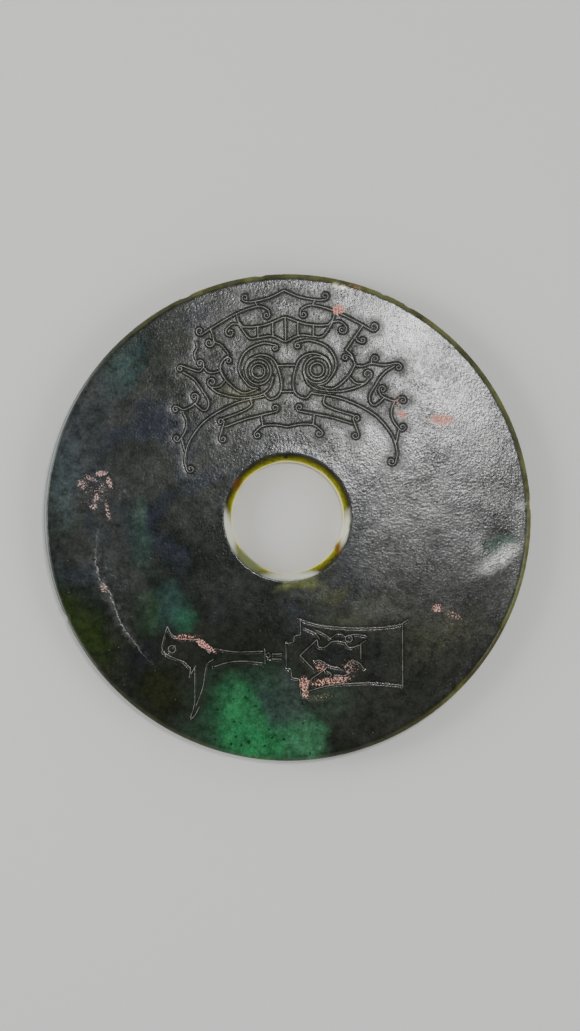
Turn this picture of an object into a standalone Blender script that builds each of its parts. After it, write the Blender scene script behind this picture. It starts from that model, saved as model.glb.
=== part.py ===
# Jade bi disc: a flat ring of carved jade.
# Metres, +Z up. The disc lies on its plain back, its carved face is up and the mask's crown points to +Y.
# The origin is the middle of the back.

import math

import bmesh
import bpy
from mathutils import Matrix, Vector

# Disc
DISC_DIAMETER = 0.200
DISC_THICKNESS = 0.012
RIM_ROUNDING = 0.0024
DISC_SIDES = 96
RIM_STEPS = 3

# Bore, worked from both faces until the two cones met at the waist
MOUTH_RADIUS = 0.0255
WAIST_RADIUS = 0.0228
BACK_MOUTH_RADIUS = 0.0248
WAIST_HEIGHT = 0.0036
MOUTH_ROUNDING = 0.0010
BORE_SIDES = 64
ROUNDING_STEPS = 3

# Carved lines: a shallow V, at its full width on the face
LINE_WIDTH = 0.0014
LINE_DEPTH = 0.00045
CURL_DEGREES = 250
CURL_STEP = 38
CURL_SHRINK = 0.8
RING_STEPS = 12
BEND_STEP = 13

# Worn hollow on the face, and the nicks in the rim
HOLLOW_PLACE = (0.091, -0.009)
HOLLOW_RADIUS = 0.0085
HOLLOW_DEPTH = 0.0005
HOLLOW_SIDES = 20
NICK_DEPTH = 0.0009
NICK_TALL = 0.0032
NICKS = {
    "crownLeft": {"degrees": 114.6, "length": 0.0052},
    "crownRight": {"degrees": 66.9, "length": 0.0026},
    "lowLeft": {"degrees": 204.3, "length": 0.0040},
}

# How far a cutter stands clear of the faces that it cuts through
CUT_MARGIN = 0.003

# The drawing's grid: the disc's radius is 100 steps and its middle is the grid's origin
GRID = DISC_DIAMETER / 200

# The mask's axis leans to the left, and its left half is a little narrower than its right half
AXIS_FOOT = (0.9, 0.0)
AXIS_LEAN = 1.45
LEFT_SHARE = 0.96

# The mask's right half. A curl has a radius, and a minus sign where it turns clockwise.
MASK_LINES = {
    "roof": {"points": [(-1.4, 93.1), (5.1, 90.4), (12.5, 89.1), (15.4, 89.4)], "endCurl": 1.5},
    "roofPost": {"points": [(11.1, 89.0), (10.3, 87.4)]},
    "brow": {
        "points": [(5.2, 83.7), (5.9, 85.6), (10.1, 87.1), (19.1, 84.7), (29.7, 79.5), (34.3, 76.8)],
        "startCurl": 1.4,
        "endCurl": 1.8,
    },
    "browFall": {"points": [(30.6, 78.4), (27.3, 73.7), (23.9, 68.7)]},
    "browReturn": {"points": [(23.9, 68.7), (26.3, 66.5), (27.5, 63.2), (28.7, 62.0)]},
    "fallHook": {"points": [(27.9, 73.7), (28.7, 72.4), (30.2, 71.7)], "endCurl": 1.2},
    "fallCurl": {"points": [(27.1, 64.2), (25.9, 65.9), (24.4, 66.7)], "endCurl": 1.3},
    "cheekBar": {
        "points": [(28.7, 62.2), (31.0, 62.1), (34.5, 63.1), (39.6, 62.5), (44.5, 63.2), (45.9, 62.9)],
        "endCurl": -1.3,
    },
    "cheekBarHook": {"points": [(34.4, 63.2), (34.5, 65.0)], "endCurl": -1.4},
    "earLoop": {
        "points": [
            (43.9, 62.2), (39.4, 59.1), (36.1, 54.4), (33.6, 49.9), (34.2, 46.7), (36.3, 46.2), (39.8, 49.2),
        ],
    },
    "earCurl": {"points": [(39.8, 49.2), (38.2, 50.3), (37.5, 51.9)], "endCurl": -1.6},
    "earTail": {"points": [(39.8, 49.2), (43.7, 47.8), (46.4, 49.2)], "endCurl": -1.4},
    "earDrop": {"points": [(43.9, 47.4), (42.5, 43.7), (43.3, 39.8), (45.8, 36.3)], "endCurl": 1.5},
    "earDropTail": {"points": [(45.5, 35.7), (44.3, 30.4)]},
    "jaw": {
        "points": [(9.8, 51.1), (22.4, 48.7), (35.1, 42.5), (42.5, 34.3), (44.9, 26.9), (44.3, 22.8)],
        "endCurl": -1.6,
    },
    "nose": {
        "points": [
            (17.6, 61.8), (15.6, 65.4), (10.1, 67.3), (4.7, 64.5),
            (2.3, 56.4), (3.2, 51.0), (7.2, 48.9), (10.1, 51.4),
        ],
    },
    "underEye": {
        "points": [(6.5, 59.7), (8.4, 55.0), (12.9, 52.3), (22.0, 51.8), (30.2, 54.2), (33.9, 57.2)],
        "endCurl": 1.9,
    },
    "eyeSwirl": {
        "points": [(4.1, 71.8), (9.6, 72.6), (17.0, 69.3), (19.9, 62.4), (16.2, 55.8), (12.1, 54.2)],
        "startCurl": 1.3,
    },
    "eyeCorner": {"points": [(25.6, 57.4), (28.1, 55.1), (31.4, 54.9)]},
    "cheek": {"points": [(12.9, 53.8), (18.7, 52.9), (24.8, 57.7), (27.7, 62.8)]},
    "bridge": {"points": [(-0.6, 62.4), (3.0, 62.4)], "acrossAxis": True},
    "bridgeLow": {"points": [(-0.4, 51.7), (2.3, 51.6)], "acrossAxis": True},
    "lip": {"points": [(4.7, 43.6), (12.9, 42.1), (18.7, 40.9), (26.7, 38.4)], "startCurl": -1.5},
    "lipHook": {"points": [(27.0, 40.0), (27.9, 37.5), (29.1, 34.3)], "startCurl": -1.4, "endCurl": -1.5},
    "lipTop": {"points": [(15.2, 49.7), (15.0, 46.6), (19.5, 44.2), (27.0, 41.9)]},
    "mouth": {
        "points": [(-0.1, 37.1), (5.1, 38.2), (10.5, 38.0), (13.7, 35.8)],
        "endCurl": -1.5,
        "acrossAxis": True,
    },
    "mouthPost": {"points": [(10.9, 42.1), (10.5, 38.4)]},
    "crownEave": {
        "points": [(-0.6, 82.1), (6.4, 79.6), (12.1, 78.8), (16.8, 79.0)],
        "acrossAxis": True,
    },
    "crownRise": {"points": [(16.8, 79.0), (18.7, 81.5), (19.3, 84.3)]},
    "crownFoot": {
        "points": [(-0.4, 72.2), (4.7, 74.7), (10.5, 74.3), (14.6, 74.5), (18.7, 80.4)],
        "acrossAxis": True,
    },
    "crownCurl": {"points": [(18.9, 80.3), (21.5, 80.4), (23.6, 78.8)], "endCurl": -2.0},
    "crownBarInner": {"points": [(4.1, 80.4), (4.3, 74.5)]},
    "crownBarOuter": {"points": [(10.5, 79.0), (10.6, 74.5)]},
}

MASK_RINGS = {
    "eye": {"centre": (12.1, 60.6), "radius": 5.4},
    "pupil": {"centre": (12.1, 60.6), "radius": 2.8},
}

# Where a line of the left half strays from its mirrored place, to the right and up, as carved by eye
LEFT_STRAYS = {
    "underEye": (1.5, -1.6),
    "eyeSwirl": (0.5, -0.7),
    "nose": (0.6, -0.1),
    "eye": (0.9, 0.0),
    "pupil": (0.9, 0.0),
    "cheek": (0.2, -0.8),
    "jaw": (0.5, -0.9),
    "fallHook": (-0.7, 1.6),
    "earLoop": (0.5, -0.4),
    "earCurl": (0.0, -1.2),
    "earTail": (0.0, -1.4),
    "earDrop": (-0.2, -2.2),
    "earDropTail": (0.1, -1.0),
}

# The bar on the mask's axis, and the two axes below the bore, which have no mirrored half
PLAIN_LINES = {
    "crownBarMiddle": {"points": [(-1.0, 81.9), (-0.8, 72.8)]},
    "birdFront": {
        "points": [
            (-49.3, -44.6), (-50.7, -49.4), (-51.5, -53.3), (-50.1, -55.8),
            (-45.6, -58.0), (-42.6, -59.2), (-39.7, -62.1),
        ],
    },
    "birdTop": {
        "points": [
            (-49.3, -44.6), (-47.6, -47.7), (-43.7, -49.9), (-37.5, -50.0),
            (-34.5, -51.9), (-31.6, -54.9), (-30.0, -53.9),
        ],
    },
    "beak": {"points": [(-37.7, -60.9), (-39.5, -64.1)]},
    "beakLow": {"points": [(-39.7, -62.1), (-40.3, -65.7)]},
    "shaftTop": {"points": [(-30.0, -53.8), (-21.0, -55.1), (-10.1, -54.8)]},
    "shaftLow": {"points": [(-30.0, -61.1), (-24.3, -59.4), (-18.3, -58.9), (-10.5, -59.7)]},
    "shaftEnd": {"points": [(-9.4, -53.8), (-9.2, -60.1)]},
    "linkTop": {"points": [(-6.4, -56.1), (-2.3, -55.9)]},
    "linkLow": {"points": [(-6.4, -58.0), (-2.5, -58.1)]},
    "bladeBack": {"points": [(-30.4, -58.2), (-32.6, -59.7), (-33.7, -62.9), (-34.7, -69.5), (-37.5, -77.3)]},
    "bladeTip": {"points": [(-36.1, -77.5), (-37.8, -80.8), (-39.8, -82.9)]},
    "bladeFront": {"points": [(-38.0, -62.0), (-38.0, -70.8), (-38.1, -76.1), (-39.8, -82.3)]},
    "axeTop": {"points": [(4.7, -41.7), (13.3, -44.2), (25.6, -45.3), (38.0, -45.1), (45.7, -44.0), (49.4, -41.9)]},
    "axeEdge": {"points": [(47.1, -43.7), (47.2, -69.6)]},
    "axeLow": {"points": [(46.7, -68.8), (34.1, -67.8), (21.5, -68.4), (14.3, -69.5), (6.8, -71.8)]},
    "axeButt": {"points": [(-0.7, -51.1), (-0.5, -61.3)]},
    "leafOuter": {"points": [(7.4, -45.6), (11.2, -47.5), (13.1, -49.9)]},
    "leafInner": {"points": [(11.7, -46.2), (15.7, -48.3), (16.9, -49.4)]},
    "leafLow": {"points": [(12.3, -50.5), (12.8, -53.1), (15.5, -53.1), (18.6, -50.8), (23.8, -51.3)]},
    "leafWave": {"points": [(17.8, -49.4), (20.7, -47.8), (24.0, -49.0)]},
    "ringTail": {"points": [(23.5, -51.3), (25.6, -53.4), (29.7, -52.3)]},
    "ringTop": {"points": [(26.1, -48.1), (28.9, -48.0), (32.2, -48.6)]},
    "spine": {"points": [(30.0, -52.3), (30.1, -57.9)]},
    "spineHook": {"points": [(30.0, -51.9), (32.2, -50.4)]},
    "finTop": {"points": [(11.3, -58.9), (13.5, -58.7), (16.9, -60.7), (21.5, -61.8)]},
    "finLow": {"points": [(9.6, -66.3), (13.3, -63.7), (16.3, -61.3)]},
    "lowCurl": {"points": [(23.2, -61.6), (25.8, -58.9), (29.3, -59.6), (31.2, -62.0)]},
    "lowWave": {"points": [(19.5, -64.7), (22.6, -65.0), (25.4, -63.8)]},
}

# Straight runs that meet at corners
CORNER_LINES = {
    "axeStepTop": [(5.2, -42.1), (5.3, -48.2), (2.9, -48.5), (2.4, -51.3), (-0.7, -51.7)],
    "axeStepLow": [(-0.9, -61.8), (1.4, -62.4), (1.7, -65.7), (5.0, -66.3), (5.4, -72.0)],
    "chevron": [(11.8, -50.3), (5.1, -56.6), (10.7, -62.4)],
}

PLAIN_RINGS = {
    "birdEye": {"centre": (-47.4, -54.0), "radius": 1.5},
    "linkKnot": {"centre": (-8.0, -56.5), "radius": 0.9},
    "axeRing": {"centre": (25.1, -49.7), "radius": 1.4},
    "lowRing": {"centre": (25.0, -62.2), "radius": 1.4},
}


def clearScene():
    for thing in list(bpy.data.objects):
        bpy.data.objects.remove(thing)


def newCollection(name):
    collection = bpy.data.collections.new(name)
    bpy.context.scene.collection.children.link(collection)
    return collection


def makeJade():
    jade = bpy.data.materials.new("jade")
    jade.use_nodes = True
    shader = jade.node_tree.nodes["Principled BSDF"]
    shader.inputs["Base Color"].default_value = (0.085, 0.105, 0.080, 1)
    shader.inputs["Roughness"].default_value = 0.38
    shader.inputs["Metallic"].default_value = 0
    jade.diffuse_color = (0.085, 0.105, 0.080, 1)
    return jade


# Lines of the drawing, in grid steps

def smoothPoints(points):
    # A Catmull-Rom curve through the points, with more steps where it bends more
    places = [Vector(point) for point in points]
    if len(places) < 3:
        return places
    first = places[0] * 2 - places[1]
    last = places[-1] * 2 - places[-2]
    chain = [first] + places + [last]
    line = []
    for before, start, end, after in zip(chain, chain[1:], chain[2:], chain[3:]):
        bend = math.degrees((end - before).angle(after - start))
        steps = 1 + int(bend / BEND_STEP)
        for step in range(steps):
            share = step / steps
            line.append(
                start
                + (end - before) * (share / 2)
                + (before * 2 - start * 5 + end * 4 - after) * (share ** 2 / 2)
                + (start * 3 - before - end * 3 + after) * (share ** 3 / 2)
            )
    line.append(places[-1])
    return line


def curlPoints(start, heading, radius):
    # A curl that goes on from the line's end and tightens as it turns
    side = math.copysign(1, radius)
    turned = 0
    place = start.copy()
    curl = []
    while turned < CURL_DEGREES:
        tightened = abs(radius) * (1 - (1 - CURL_SHRINK) * turned / CURL_DEGREES)
        heading = Matrix.Rotation(side * math.radians(CURL_STEP / 2), 2) @ heading
        place = place + heading * tightened * 2 * math.sin(math.radians(CURL_STEP / 2))
        heading = Matrix.Rotation(side * math.radians(CURL_STEP / 2), 2) @ heading
        curl.append(place.copy())
        turned += CURL_STEP
    return curl


def linePoints(line):
    points = smoothPoints(line["points"])
    if "endCurl" in line:
        heading = (points[-1] - points[-2]).normalized()
        points = points + curlPoints(points[-1], heading, line["endCurl"])
    if "startCurl" in line:
        heading = (points[0] - points[1]).normalized()
        points = curlPoints(points[0], heading, line["startCurl"])[::-1] + points
    return points


def ringPoints(ring):
    turn = 2 * math.pi / RING_STEPS
    centre = Vector(ring["centre"])
    return [
        centre + Vector((math.cos(turn * step), math.sin(turn * step))) * ring["radius"]
        for step in range(RING_STEPS)
    ]


def mirrored(name, point):
    # The same place on the mask's left half, with the line's own stray
    lean = math.radians(AXIS_LEAN)
    along = Vector((-math.sin(lean), math.cos(lean)))
    across = Vector((math.cos(lean), math.sin(lean)))
    foot = Vector(AXIS_FOOT)
    offset = point - foot
    stray = Vector(LEFT_STRAYS.get(name, (0, 0)))
    return foot + along * offset.dot(along) - across * offset.dot(across) * LEFT_SHARE + stray


def drawingLines():
    # Every carved line as its points and whether it closes on itself
    lines = []
    for name, line in MASK_LINES.items():
        right = linePoints(line)
        left = [mirrored(name, point) for point in right]
        if line.get("acrossAxis"):
            lines.append((left[:0:-1] + right, False))
        else:
            lines += [(right, False), (left, False)]
    for name, ring in MASK_RINGS.items():
        right = ringPoints(ring)
        lines += [(right, True), ([mirrored(name, point) for point in right], True)]
    for line in PLAIN_LINES.values():
        lines.append((linePoints(line), False))
    for corners in CORNER_LINES.values():
        for start, end in zip(corners, corners[1:]):
            lines.append(([Vector(start), Vector(end)], False))
    for ring in PLAIN_RINGS.values():
        lines.append((ringPoints(ring), True))
    return lines


# Cutters

def hideCutter(cutter, collection):
    collection.objects.link(cutter)
    cutter.hide_render = True
    cutter.display_type = "WIRE"
    return cutter


def meshOfCurve(curveObject):
    graph = bpy.context.evaluated_depsgraph_get()
    mesh = bpy.data.meshes.new_from_object(curveObject.evaluated_get(graph))
    welded = bmesh.new()
    welded.from_mesh(mesh)
    bmesh.ops.remove_doubles(welded, verts=welded.verts, dist=1e-6)
    bmesh.ops.recalc_face_normals(welded, faces=welded.faces)
    welded.to_mesh(mesh)
    welded.free()
    return mesh


def lineCutter(name, points, closed, collection):
    # A four-sided tube along the line, its middle above the face, so that only its lower V cuts
    rise = LINE_DEPTH / 2
    halfHeight = LINE_DEPTH + rise
    halfWidth = LINE_WIDTH / 2 * halfHeight / LINE_DEPTH
    curve = bpy.data.curves.new(name, "CURVE")
    curve.dimensions = "3D"
    curve.twist_mode = "Z_UP"
    curve.bevel_depth = halfWidth
    curve.bevel_resolution = 0
    curve.use_fill_caps = not closed
    spline = curve.splines.new("POLY")
    spline.points.add(len(points) - 1)
    spline.use_cyclic_u = closed
    for target, point in zip(spline.points, points):
        target.co = (point.x * GRID, point.y * GRID, 0, 1)
    curveObject = bpy.data.objects.new(name, curve)
    collection.objects.link(curveObject)
    mesh = meshOfCurve(curveObject)
    bpy.data.objects.remove(curveObject)
    bpy.data.curves.remove(curve)
    mesh.transform(Matrix.Diagonal((1, 1, halfHeight / halfWidth, 1)))
    cutter = bpy.data.objects.new(name, mesh)
    cutter.location.z = DISC_THICKNESS + rise
    return hideCutter(cutter, collection)


def turnedCutter(name, profile, sides, collection):
    # A profile of (radius, height) points, top to bottom, turned about its own Z axis
    mesh = bpy.data.meshes.new(name)
    outline = bmesh.new()
    corners = [outline.verts.new((radius, 0, height)) for radius, height in profile]
    for upper, lower in zip(corners, corners[1:]):
        outline.edges.new((upper, lower))
    outline.to_mesh(mesh)
    outline.free()
    cutter = bpy.data.objects.new(name, mesh)
    screw = cutter.modifiers.new("turn", "SCREW")
    screw.steps = sides
    screw.render_steps = sides
    screw.use_merge_vertices = True
    screw.merge_threshold = 0.00001
    return hideCutter(cutter, collection)


def roundedLip(radius, height, outward):
    # The arc from a face into the bore. outward is 1 at the top face and -1 at the back.
    arc = []
    for step in range(ROUNDING_STEPS + 1):
        angle = math.radians(90 * step / ROUNDING_STEPS)
        arc.append((
            radius + MOUTH_ROUNDING * (1 - math.sin(angle)),
            height - outward * MOUTH_ROUNDING * (1 - math.cos(angle)),
        ))
    return arc


def boreCutter(collection):
    top = roundedLip(MOUTH_RADIUS, DISC_THICKNESS, 1)
    back = roundedLip(BACK_MOUTH_RADIUS, 0, -1)[::-1]
    over = DISC_THICKNESS + CUT_MARGIN
    profile = [(0, over), (top[0][0], over)]
    profile += top
    profile += [(WAIST_RADIUS, WAIST_HEIGHT)]
    profile += back
    profile += [(back[-1][0], -CUT_MARGIN), (0, -CUT_MARGIN)]
    return turnedCutter("boreCutter", profile, BORE_SIDES, collection)


def hollowCutter(collection):
    # A shallow bowl, with its sides carried up clear of the face
    steps = 3
    profile = [(0, CUT_MARGIN), (HOLLOW_RADIUS, CUT_MARGIN)]
    for step in range(steps + 1):
        share = 1 - step / steps
        profile.append((HOLLOW_RADIUS * share, -HOLLOW_DEPTH * (1 - share ** 2)))
    cutter = turnedCutter("hollowCutter", profile, HOLLOW_SIDES, collection)
    cutter.location = (HOLLOW_PLACE[0], HOLLOW_PLACE[1], DISC_THICKNESS)
    return cutter


def nickCutter(name, nick, collection):
    mesh = bpy.data.meshes.new(name)
    ball = bmesh.new()
    bmesh.ops.create_icosphere(ball, subdivisions=1, radius=1)
    ball.to_mesh(mesh)
    ball.free()
    mesh.transform(Matrix.Diagonal((NICK_DEPTH * 2, nick["length"] / 2, NICK_TALL / 2, 1)))
    angle = math.radians(nick["degrees"])
    reach = DISC_DIAMETER / 2 + NICK_DEPTH
    cutter = bpy.data.objects.new(name, mesh)
    cutter.location = (reach * math.cos(angle), reach * math.sin(angle), DISC_THICKNESS - RIM_ROUNDING / 2)
    cutter.rotation_euler.z = angle
    return hideCutter(cutter, collection)


# Disc

def makeDisc(parts, shapeCutters, lineCutters):
    mesh = bpy.data.meshes.new("jade_disc")
    blank = bmesh.new()
    bmesh.ops.create_cone(
        blank,
        cap_ends=True,
        segments=DISC_SIDES,
        radius1=DISC_DIAMETER / 2,
        radius2=DISC_DIAMETER / 2,
        depth=DISC_THICKNESS,
    )
    bmesh.ops.translate(blank, verts=blank.verts, vec=(0, 0, DISC_THICKNESS / 2))
    blank.to_mesh(mesh)
    blank.free()
    mesh.materials.append(makeJade())
    mesh.shade_smooth()
    mesh.set_sharp_from_angle(angle=math.radians(30))
    disc = bpy.data.objects.new("jade_disc", mesh)
    parts.objects.link(disc)
    rim = disc.modifiers.new("rim", "BEVEL")
    rim.width = RIM_ROUNDING
    rim.segments = RIM_STEPS
    rim.limit_method = "ANGLE"
    rim.angle_limit = math.radians(60)
    for name, collection in (("shape", shapeCutters), ("carving", lineCutters)):
        cut = disc.modifiers.new(name, "BOOLEAN")
        cut.operation = "DIFFERENCE"
        cut.solver = "EXACT"
        cut.operand_type = "COLLECTION"
        cut.collection = collection
    return disc


def main():
    clearScene()
    parts = newCollection("jade bi disc")
    shapeCutters = newCollection("shape cutters")
    lineCutters = newCollection("line cutters")
    boreCutter(shapeCutters)
    hollowCutter(shapeCutters)
    for name, nick in NICKS.items():
        nickCutter(name, nick, shapeCutters)
    for number, (points, closed) in enumerate(drawingLines()):
        lineCutter(f"line.{number}", points, closed, lineCutters)
    makeDisc(parts, shapeCutters, lineCutters)


main()
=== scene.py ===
import math

import bpy
import numpy as np
from mathutils import Matrix, Vector
from mathutils.geometry import delaunay_2d_cdt


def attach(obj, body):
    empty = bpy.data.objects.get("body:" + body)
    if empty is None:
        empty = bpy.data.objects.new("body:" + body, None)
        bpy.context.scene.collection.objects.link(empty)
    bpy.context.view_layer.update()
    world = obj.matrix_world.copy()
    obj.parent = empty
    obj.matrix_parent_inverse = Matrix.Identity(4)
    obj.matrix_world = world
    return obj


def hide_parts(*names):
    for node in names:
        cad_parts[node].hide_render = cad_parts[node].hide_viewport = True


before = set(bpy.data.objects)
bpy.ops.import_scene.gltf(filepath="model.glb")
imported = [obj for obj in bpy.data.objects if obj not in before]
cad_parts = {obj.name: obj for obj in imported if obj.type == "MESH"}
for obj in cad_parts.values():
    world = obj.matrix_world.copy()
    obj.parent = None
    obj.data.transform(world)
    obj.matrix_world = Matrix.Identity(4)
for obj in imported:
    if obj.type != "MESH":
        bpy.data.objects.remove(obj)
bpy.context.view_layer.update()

# sizes of the solid, read from its own corners
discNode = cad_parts["jade_disc"]
solid = np.array([tuple(vertex.co) for vertex in discNode.data.vertices])
reach = np.hypot(solid[:, 0], solid[:, 1])
faceHeight = float(solid[:, 2].max())
discRadius = float(reach.max())
onFace = solid[:, 2] > faceHeight - 1e-6
onBack = solid[:, 2] < 1e-6
faceInner = float(reach[onFace].min())
faceOuter = float(reach[onFace].max())
backInner = float(reach[onBack].min())
backOuter = float(reach[onBack].max())
waistRadius = float(reach.min())
waistHeight = float(np.median(solid[reach < waistRadius + 1e-5][:, 2]))
gridStep = discRadius / 100  # the carving is drawn on a grid of 100 steps to the radius
print("solid", round(discRadius * 1000, 2), "mm radius,", round(faceHeight * 1000, 2), "mm thick")


# sockets as numbers, and one way to add any node

class Number:
    def __init__(self, tree, socket):
        self.tree = tree
        self.socket = socket

    def join(self, operation, first, second=None):
        inputs = {0: first} if second is None else {0: first, 1: second}
        return self.tree.add("ShaderNodeMath", {"operation": operation}, inputs)

    def __add__(self, other):
        return self.join("ADD", self, other)

    def __radd__(self, other):
        return self.join("ADD", other, self)

    def __sub__(self, other):
        return self.join("SUBTRACT", self, other)

    def __rsub__(self, other):
        return self.join("SUBTRACT", other, self)

    def __mul__(self, other):
        return self.join("MULTIPLY", self, other)

    def __rmul__(self, other):
        return self.join("MULTIPLY", other, self)

    def __truediv__(self, other):
        return self.join("DIVIDE", self, other)

    def __rtruediv__(self, other):
        return self.join("DIVIDE", other, self)

    def __neg__(self):
        return self * -1.0

    def __abs__(self):
        return self.join("ABSOLUTE", self)


class NodeTree:
    def __init__(self, tree):
        self.tree = tree

    def add(self, kind, settings=None, inputs=None, output=0):
        node = self.tree.nodes.new(kind)
        for name, value in (settings or {}).items():
            if name == "stops":
                self.setStops(node.color_ramp, value)
            elif name == "curve":
                self.setCurve(node.mapping, value)
            else:
                setattr(node, name, value)
        for name, value in (inputs or {}).items():
            if isinstance(value, Number):
                self.tree.links.new(value.socket, node.inputs[name])
            else:
                node.inputs[name].default_value = value
        return Number(self, node.outputs[output])

    def setStops(self, ramp, stops):
        while len(ramp.elements) < len(stops):
            ramp.elements.new(0.5)
        for element, (place, colour) in zip(ramp.elements, stops):
            element.position = place
            element.color = (*colour, 1)

    def setCurve(self, mapping, points):
        curve = mapping.curves[0]
        for place, height in points[1:-1]:
            curve.points.new(place, height)
        for point, (place, height) in zip(curve.points, points):
            point.location = (place, height)
            point.handle_type = "AUTO"
        mapping.update()

    def mixColour(self, share, first, second):
        # sockets 0, 6 and 7 are the factor and the two colours, and output 2 is the colour
        settings = {"data_type": "RGBA"}
        first = first if isinstance(first, Number) else (*first, 1)
        second = second if isinstance(second, Number) else (*second, 1)
        return self.add("ShaderNodeMix", settings, {0: share, 6: first, 7: second}, 2)

    def vector(self, operation, first, second=None, scale=None, output=0):
        inputs = {0: first}
        if second is not None:
            inputs[1] = second
        if scale is not None:
            inputs["Scale"] = scale
        return self.add("ShaderNodeVectorMath", {"operation": operation}, inputs, output)

    def between(self, value, low, high, toLow=0.0, toHigh=1.0, smooth=True):
        # low and high become toLow and toHigh, and what is past them stays there
        settings = {"interpolation_type": "SMOOTHSTEP" if smooth else "LINEAR"}
        inputs = {"Value": value, 1: low, 2: high, 3: toLow, 4: toHigh}
        return self.add("ShaderNodeMapRange", settings, inputs)

    def noise(self, place, scale, detail=3.0, roughness=0.5, output=0):
        inputs = {"Vector": place, "Scale": scale, "Detail": detail, "Roughness": roughness}
        return self.add("ShaderNodeTexNoise", {}, inputs, output)

    def cells(self, place, scale, feature="F1"):
        # how far the nearest cell's middle is, or its edge
        inputs = {"Vector": place, "Scale": scale, "Randomness": 1.0}
        return self.add("ShaderNodeTexVoronoi", {"feature": feature}, inputs)

    def greatest(self, numbers):
        first, *others = numbers
        for other in others:
            first = first.join("MAXIMUM", first, other)
        return first


def carved(*points, startCurl=0, endCurl=0, acrossAxis=False):
    # a curl is the radius of the spiral at an end, less than 0 where it turns clockwise, and a
    # line across the axis goes straight on into its mirrored half
    return {
        "points": points,
        "startCurl": startCurl,
        "endCurl": endCurl,
        "acrossAxis": acrossAxis,
    }


# the right half of the mask, on the drawing's grid
maskLines = {
    "roof": carved(
        (-1.4, 93.1), (5.1, 90.4), (12.5, 89.1), (15.4, 89.4),
        endCurl=1.5, acrossAxis=True,
    ),
    "roofPost": carved((11.1, 89.0), (10.3, 87.4)),
    "brow": carved(
        (5.2, 83.7), (5.9, 85.6), (10.1, 87.1), (19.1, 84.7), (29.7, 79.5), (34.3, 76.8),
        startCurl=1.4, endCurl=1.8,
    ),
    "browFall": carved((30.6, 78.4), (27.3, 73.7), (23.9, 68.7)),
    "browReturn": carved((23.9, 68.7), (26.3, 66.5), (27.5, 63.2), (28.7, 62.0)),
    "fallHook": carved((27.9, 73.7), (28.7, 72.4), (30.2, 71.7), endCurl=1.2),
    "fallCurl": carved((27.1, 64.2), (25.9, 65.9), (24.4, 66.7), endCurl=1.3),
    "cheekBar": carved(
        (28.7, 62.2), (31.0, 62.1), (34.5, 63.1), (39.6, 62.5), (44.5, 63.2), (45.9, 62.9),
        endCurl=-1.3,
    ),
    "cheekBarHook": carved((34.4, 63.2), (34.5, 65.0), endCurl=-1.4),
    "earLoop": carved(
        (43.9, 62.2), (39.4, 59.1), (36.1, 54.4), (33.6, 49.9), (34.2, 46.7), (36.3, 46.2),
        (39.8, 49.2),
    ),
    "earCurl": carved((39.8, 49.2), (38.2, 50.3), (37.5, 51.9), endCurl=-1.6),
    "earTail": carved((39.8, 49.2), (43.7, 47.8), (46.4, 49.2), endCurl=-1.4),
    "earDrop": carved((43.9, 47.4), (42.5, 43.7), (43.3, 39.8), (45.8, 36.3), endCurl=1.5),
    "earDropTail": carved((45.5, 35.7), (44.3, 30.4)),
    "jaw": carved(
        (9.8, 51.1), (22.4, 48.7), (35.1, 42.5), (42.5, 34.3), (44.9, 26.9), (44.3, 22.8),
        endCurl=-1.6,
    ),
    "nose": carved(
        (17.6, 61.8), (15.6, 65.4), (10.1, 67.3), (4.7, 64.5), (2.3, 56.4), (3.2, 51.0),
        (7.2, 48.9), (10.1, 51.4),
    ),
    "underEye": carved(
        (6.5, 59.7), (8.4, 55.0), (12.9, 52.3), (22.0, 51.8), (30.2, 54.2), (33.9, 57.2),
        endCurl=1.9,
    ),
    "eyeSwirl": carved(
        (4.1, 71.8), (9.6, 72.6), (17.0, 69.3), (19.9, 62.4), (16.2, 55.8), (12.1, 54.2),
        startCurl=1.3,
    ),
    "eyeCorner": carved((25.6, 57.4), (28.1, 55.1), (31.4, 54.9)),
    "cheek": carved((12.9, 53.8), (18.7, 52.9), (24.8, 57.7), (27.7, 62.8)),
    "bridge": carved((-0.6, 62.4), (3.0, 62.4), acrossAxis=True),
    "bridgeLow": carved((-0.4, 51.7), (2.3, 51.6), acrossAxis=True),
    "lip": carved((4.7, 43.6), (12.9, 42.1), (18.7, 40.9), (26.7, 38.4), startCurl=-1.5),
    "lipHook": carved((27.0, 40.0), (27.9, 37.5), (29.1, 34.3), startCurl=-1.4, endCurl=-1.5),
    "lipTop": carved((15.2, 49.7), (15.0, 46.6), (19.5, 44.2), (27.0, 41.9)),
    "mouth": carved(
        (-0.1, 37.1), (5.1, 38.2), (10.5, 38.0), (13.7, 35.8),
        endCurl=-1.5, acrossAxis=True,
    ),
    "mouthPost": carved((10.9, 42.1), (10.5, 38.4)),
    "crownEave": carved((-0.6, 82.1), (6.4, 79.6), (12.1, 78.8), (16.8, 79.0), acrossAxis=True),
    "crownRise": carved((16.8, 79.0), (18.7, 81.5), (19.3, 84.3)),
    "crownFoot": carved(
        (-0.4, 72.2), (4.7, 74.7), (10.5, 74.3), (14.6, 74.5), (18.7, 80.4),
        acrossAxis=True,
    ),
    "crownCurl": carved((18.9, 80.3), (21.5, 80.4), (23.6, 78.8), endCurl=-2.0),
    "crownBarInner": carved((4.1, 80.4), (4.3, 74.5)),
    "crownBarOuter": carved((10.5, 79.0), (10.6, 74.5)),
}

# the mask's right eye
maskRings = {
    "eye": {"centre": (12.1, 60.6), "radius": 5.4},
    "pupil": {"centre": (12.1, 60.6), "radius": 2.8},
}

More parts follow.
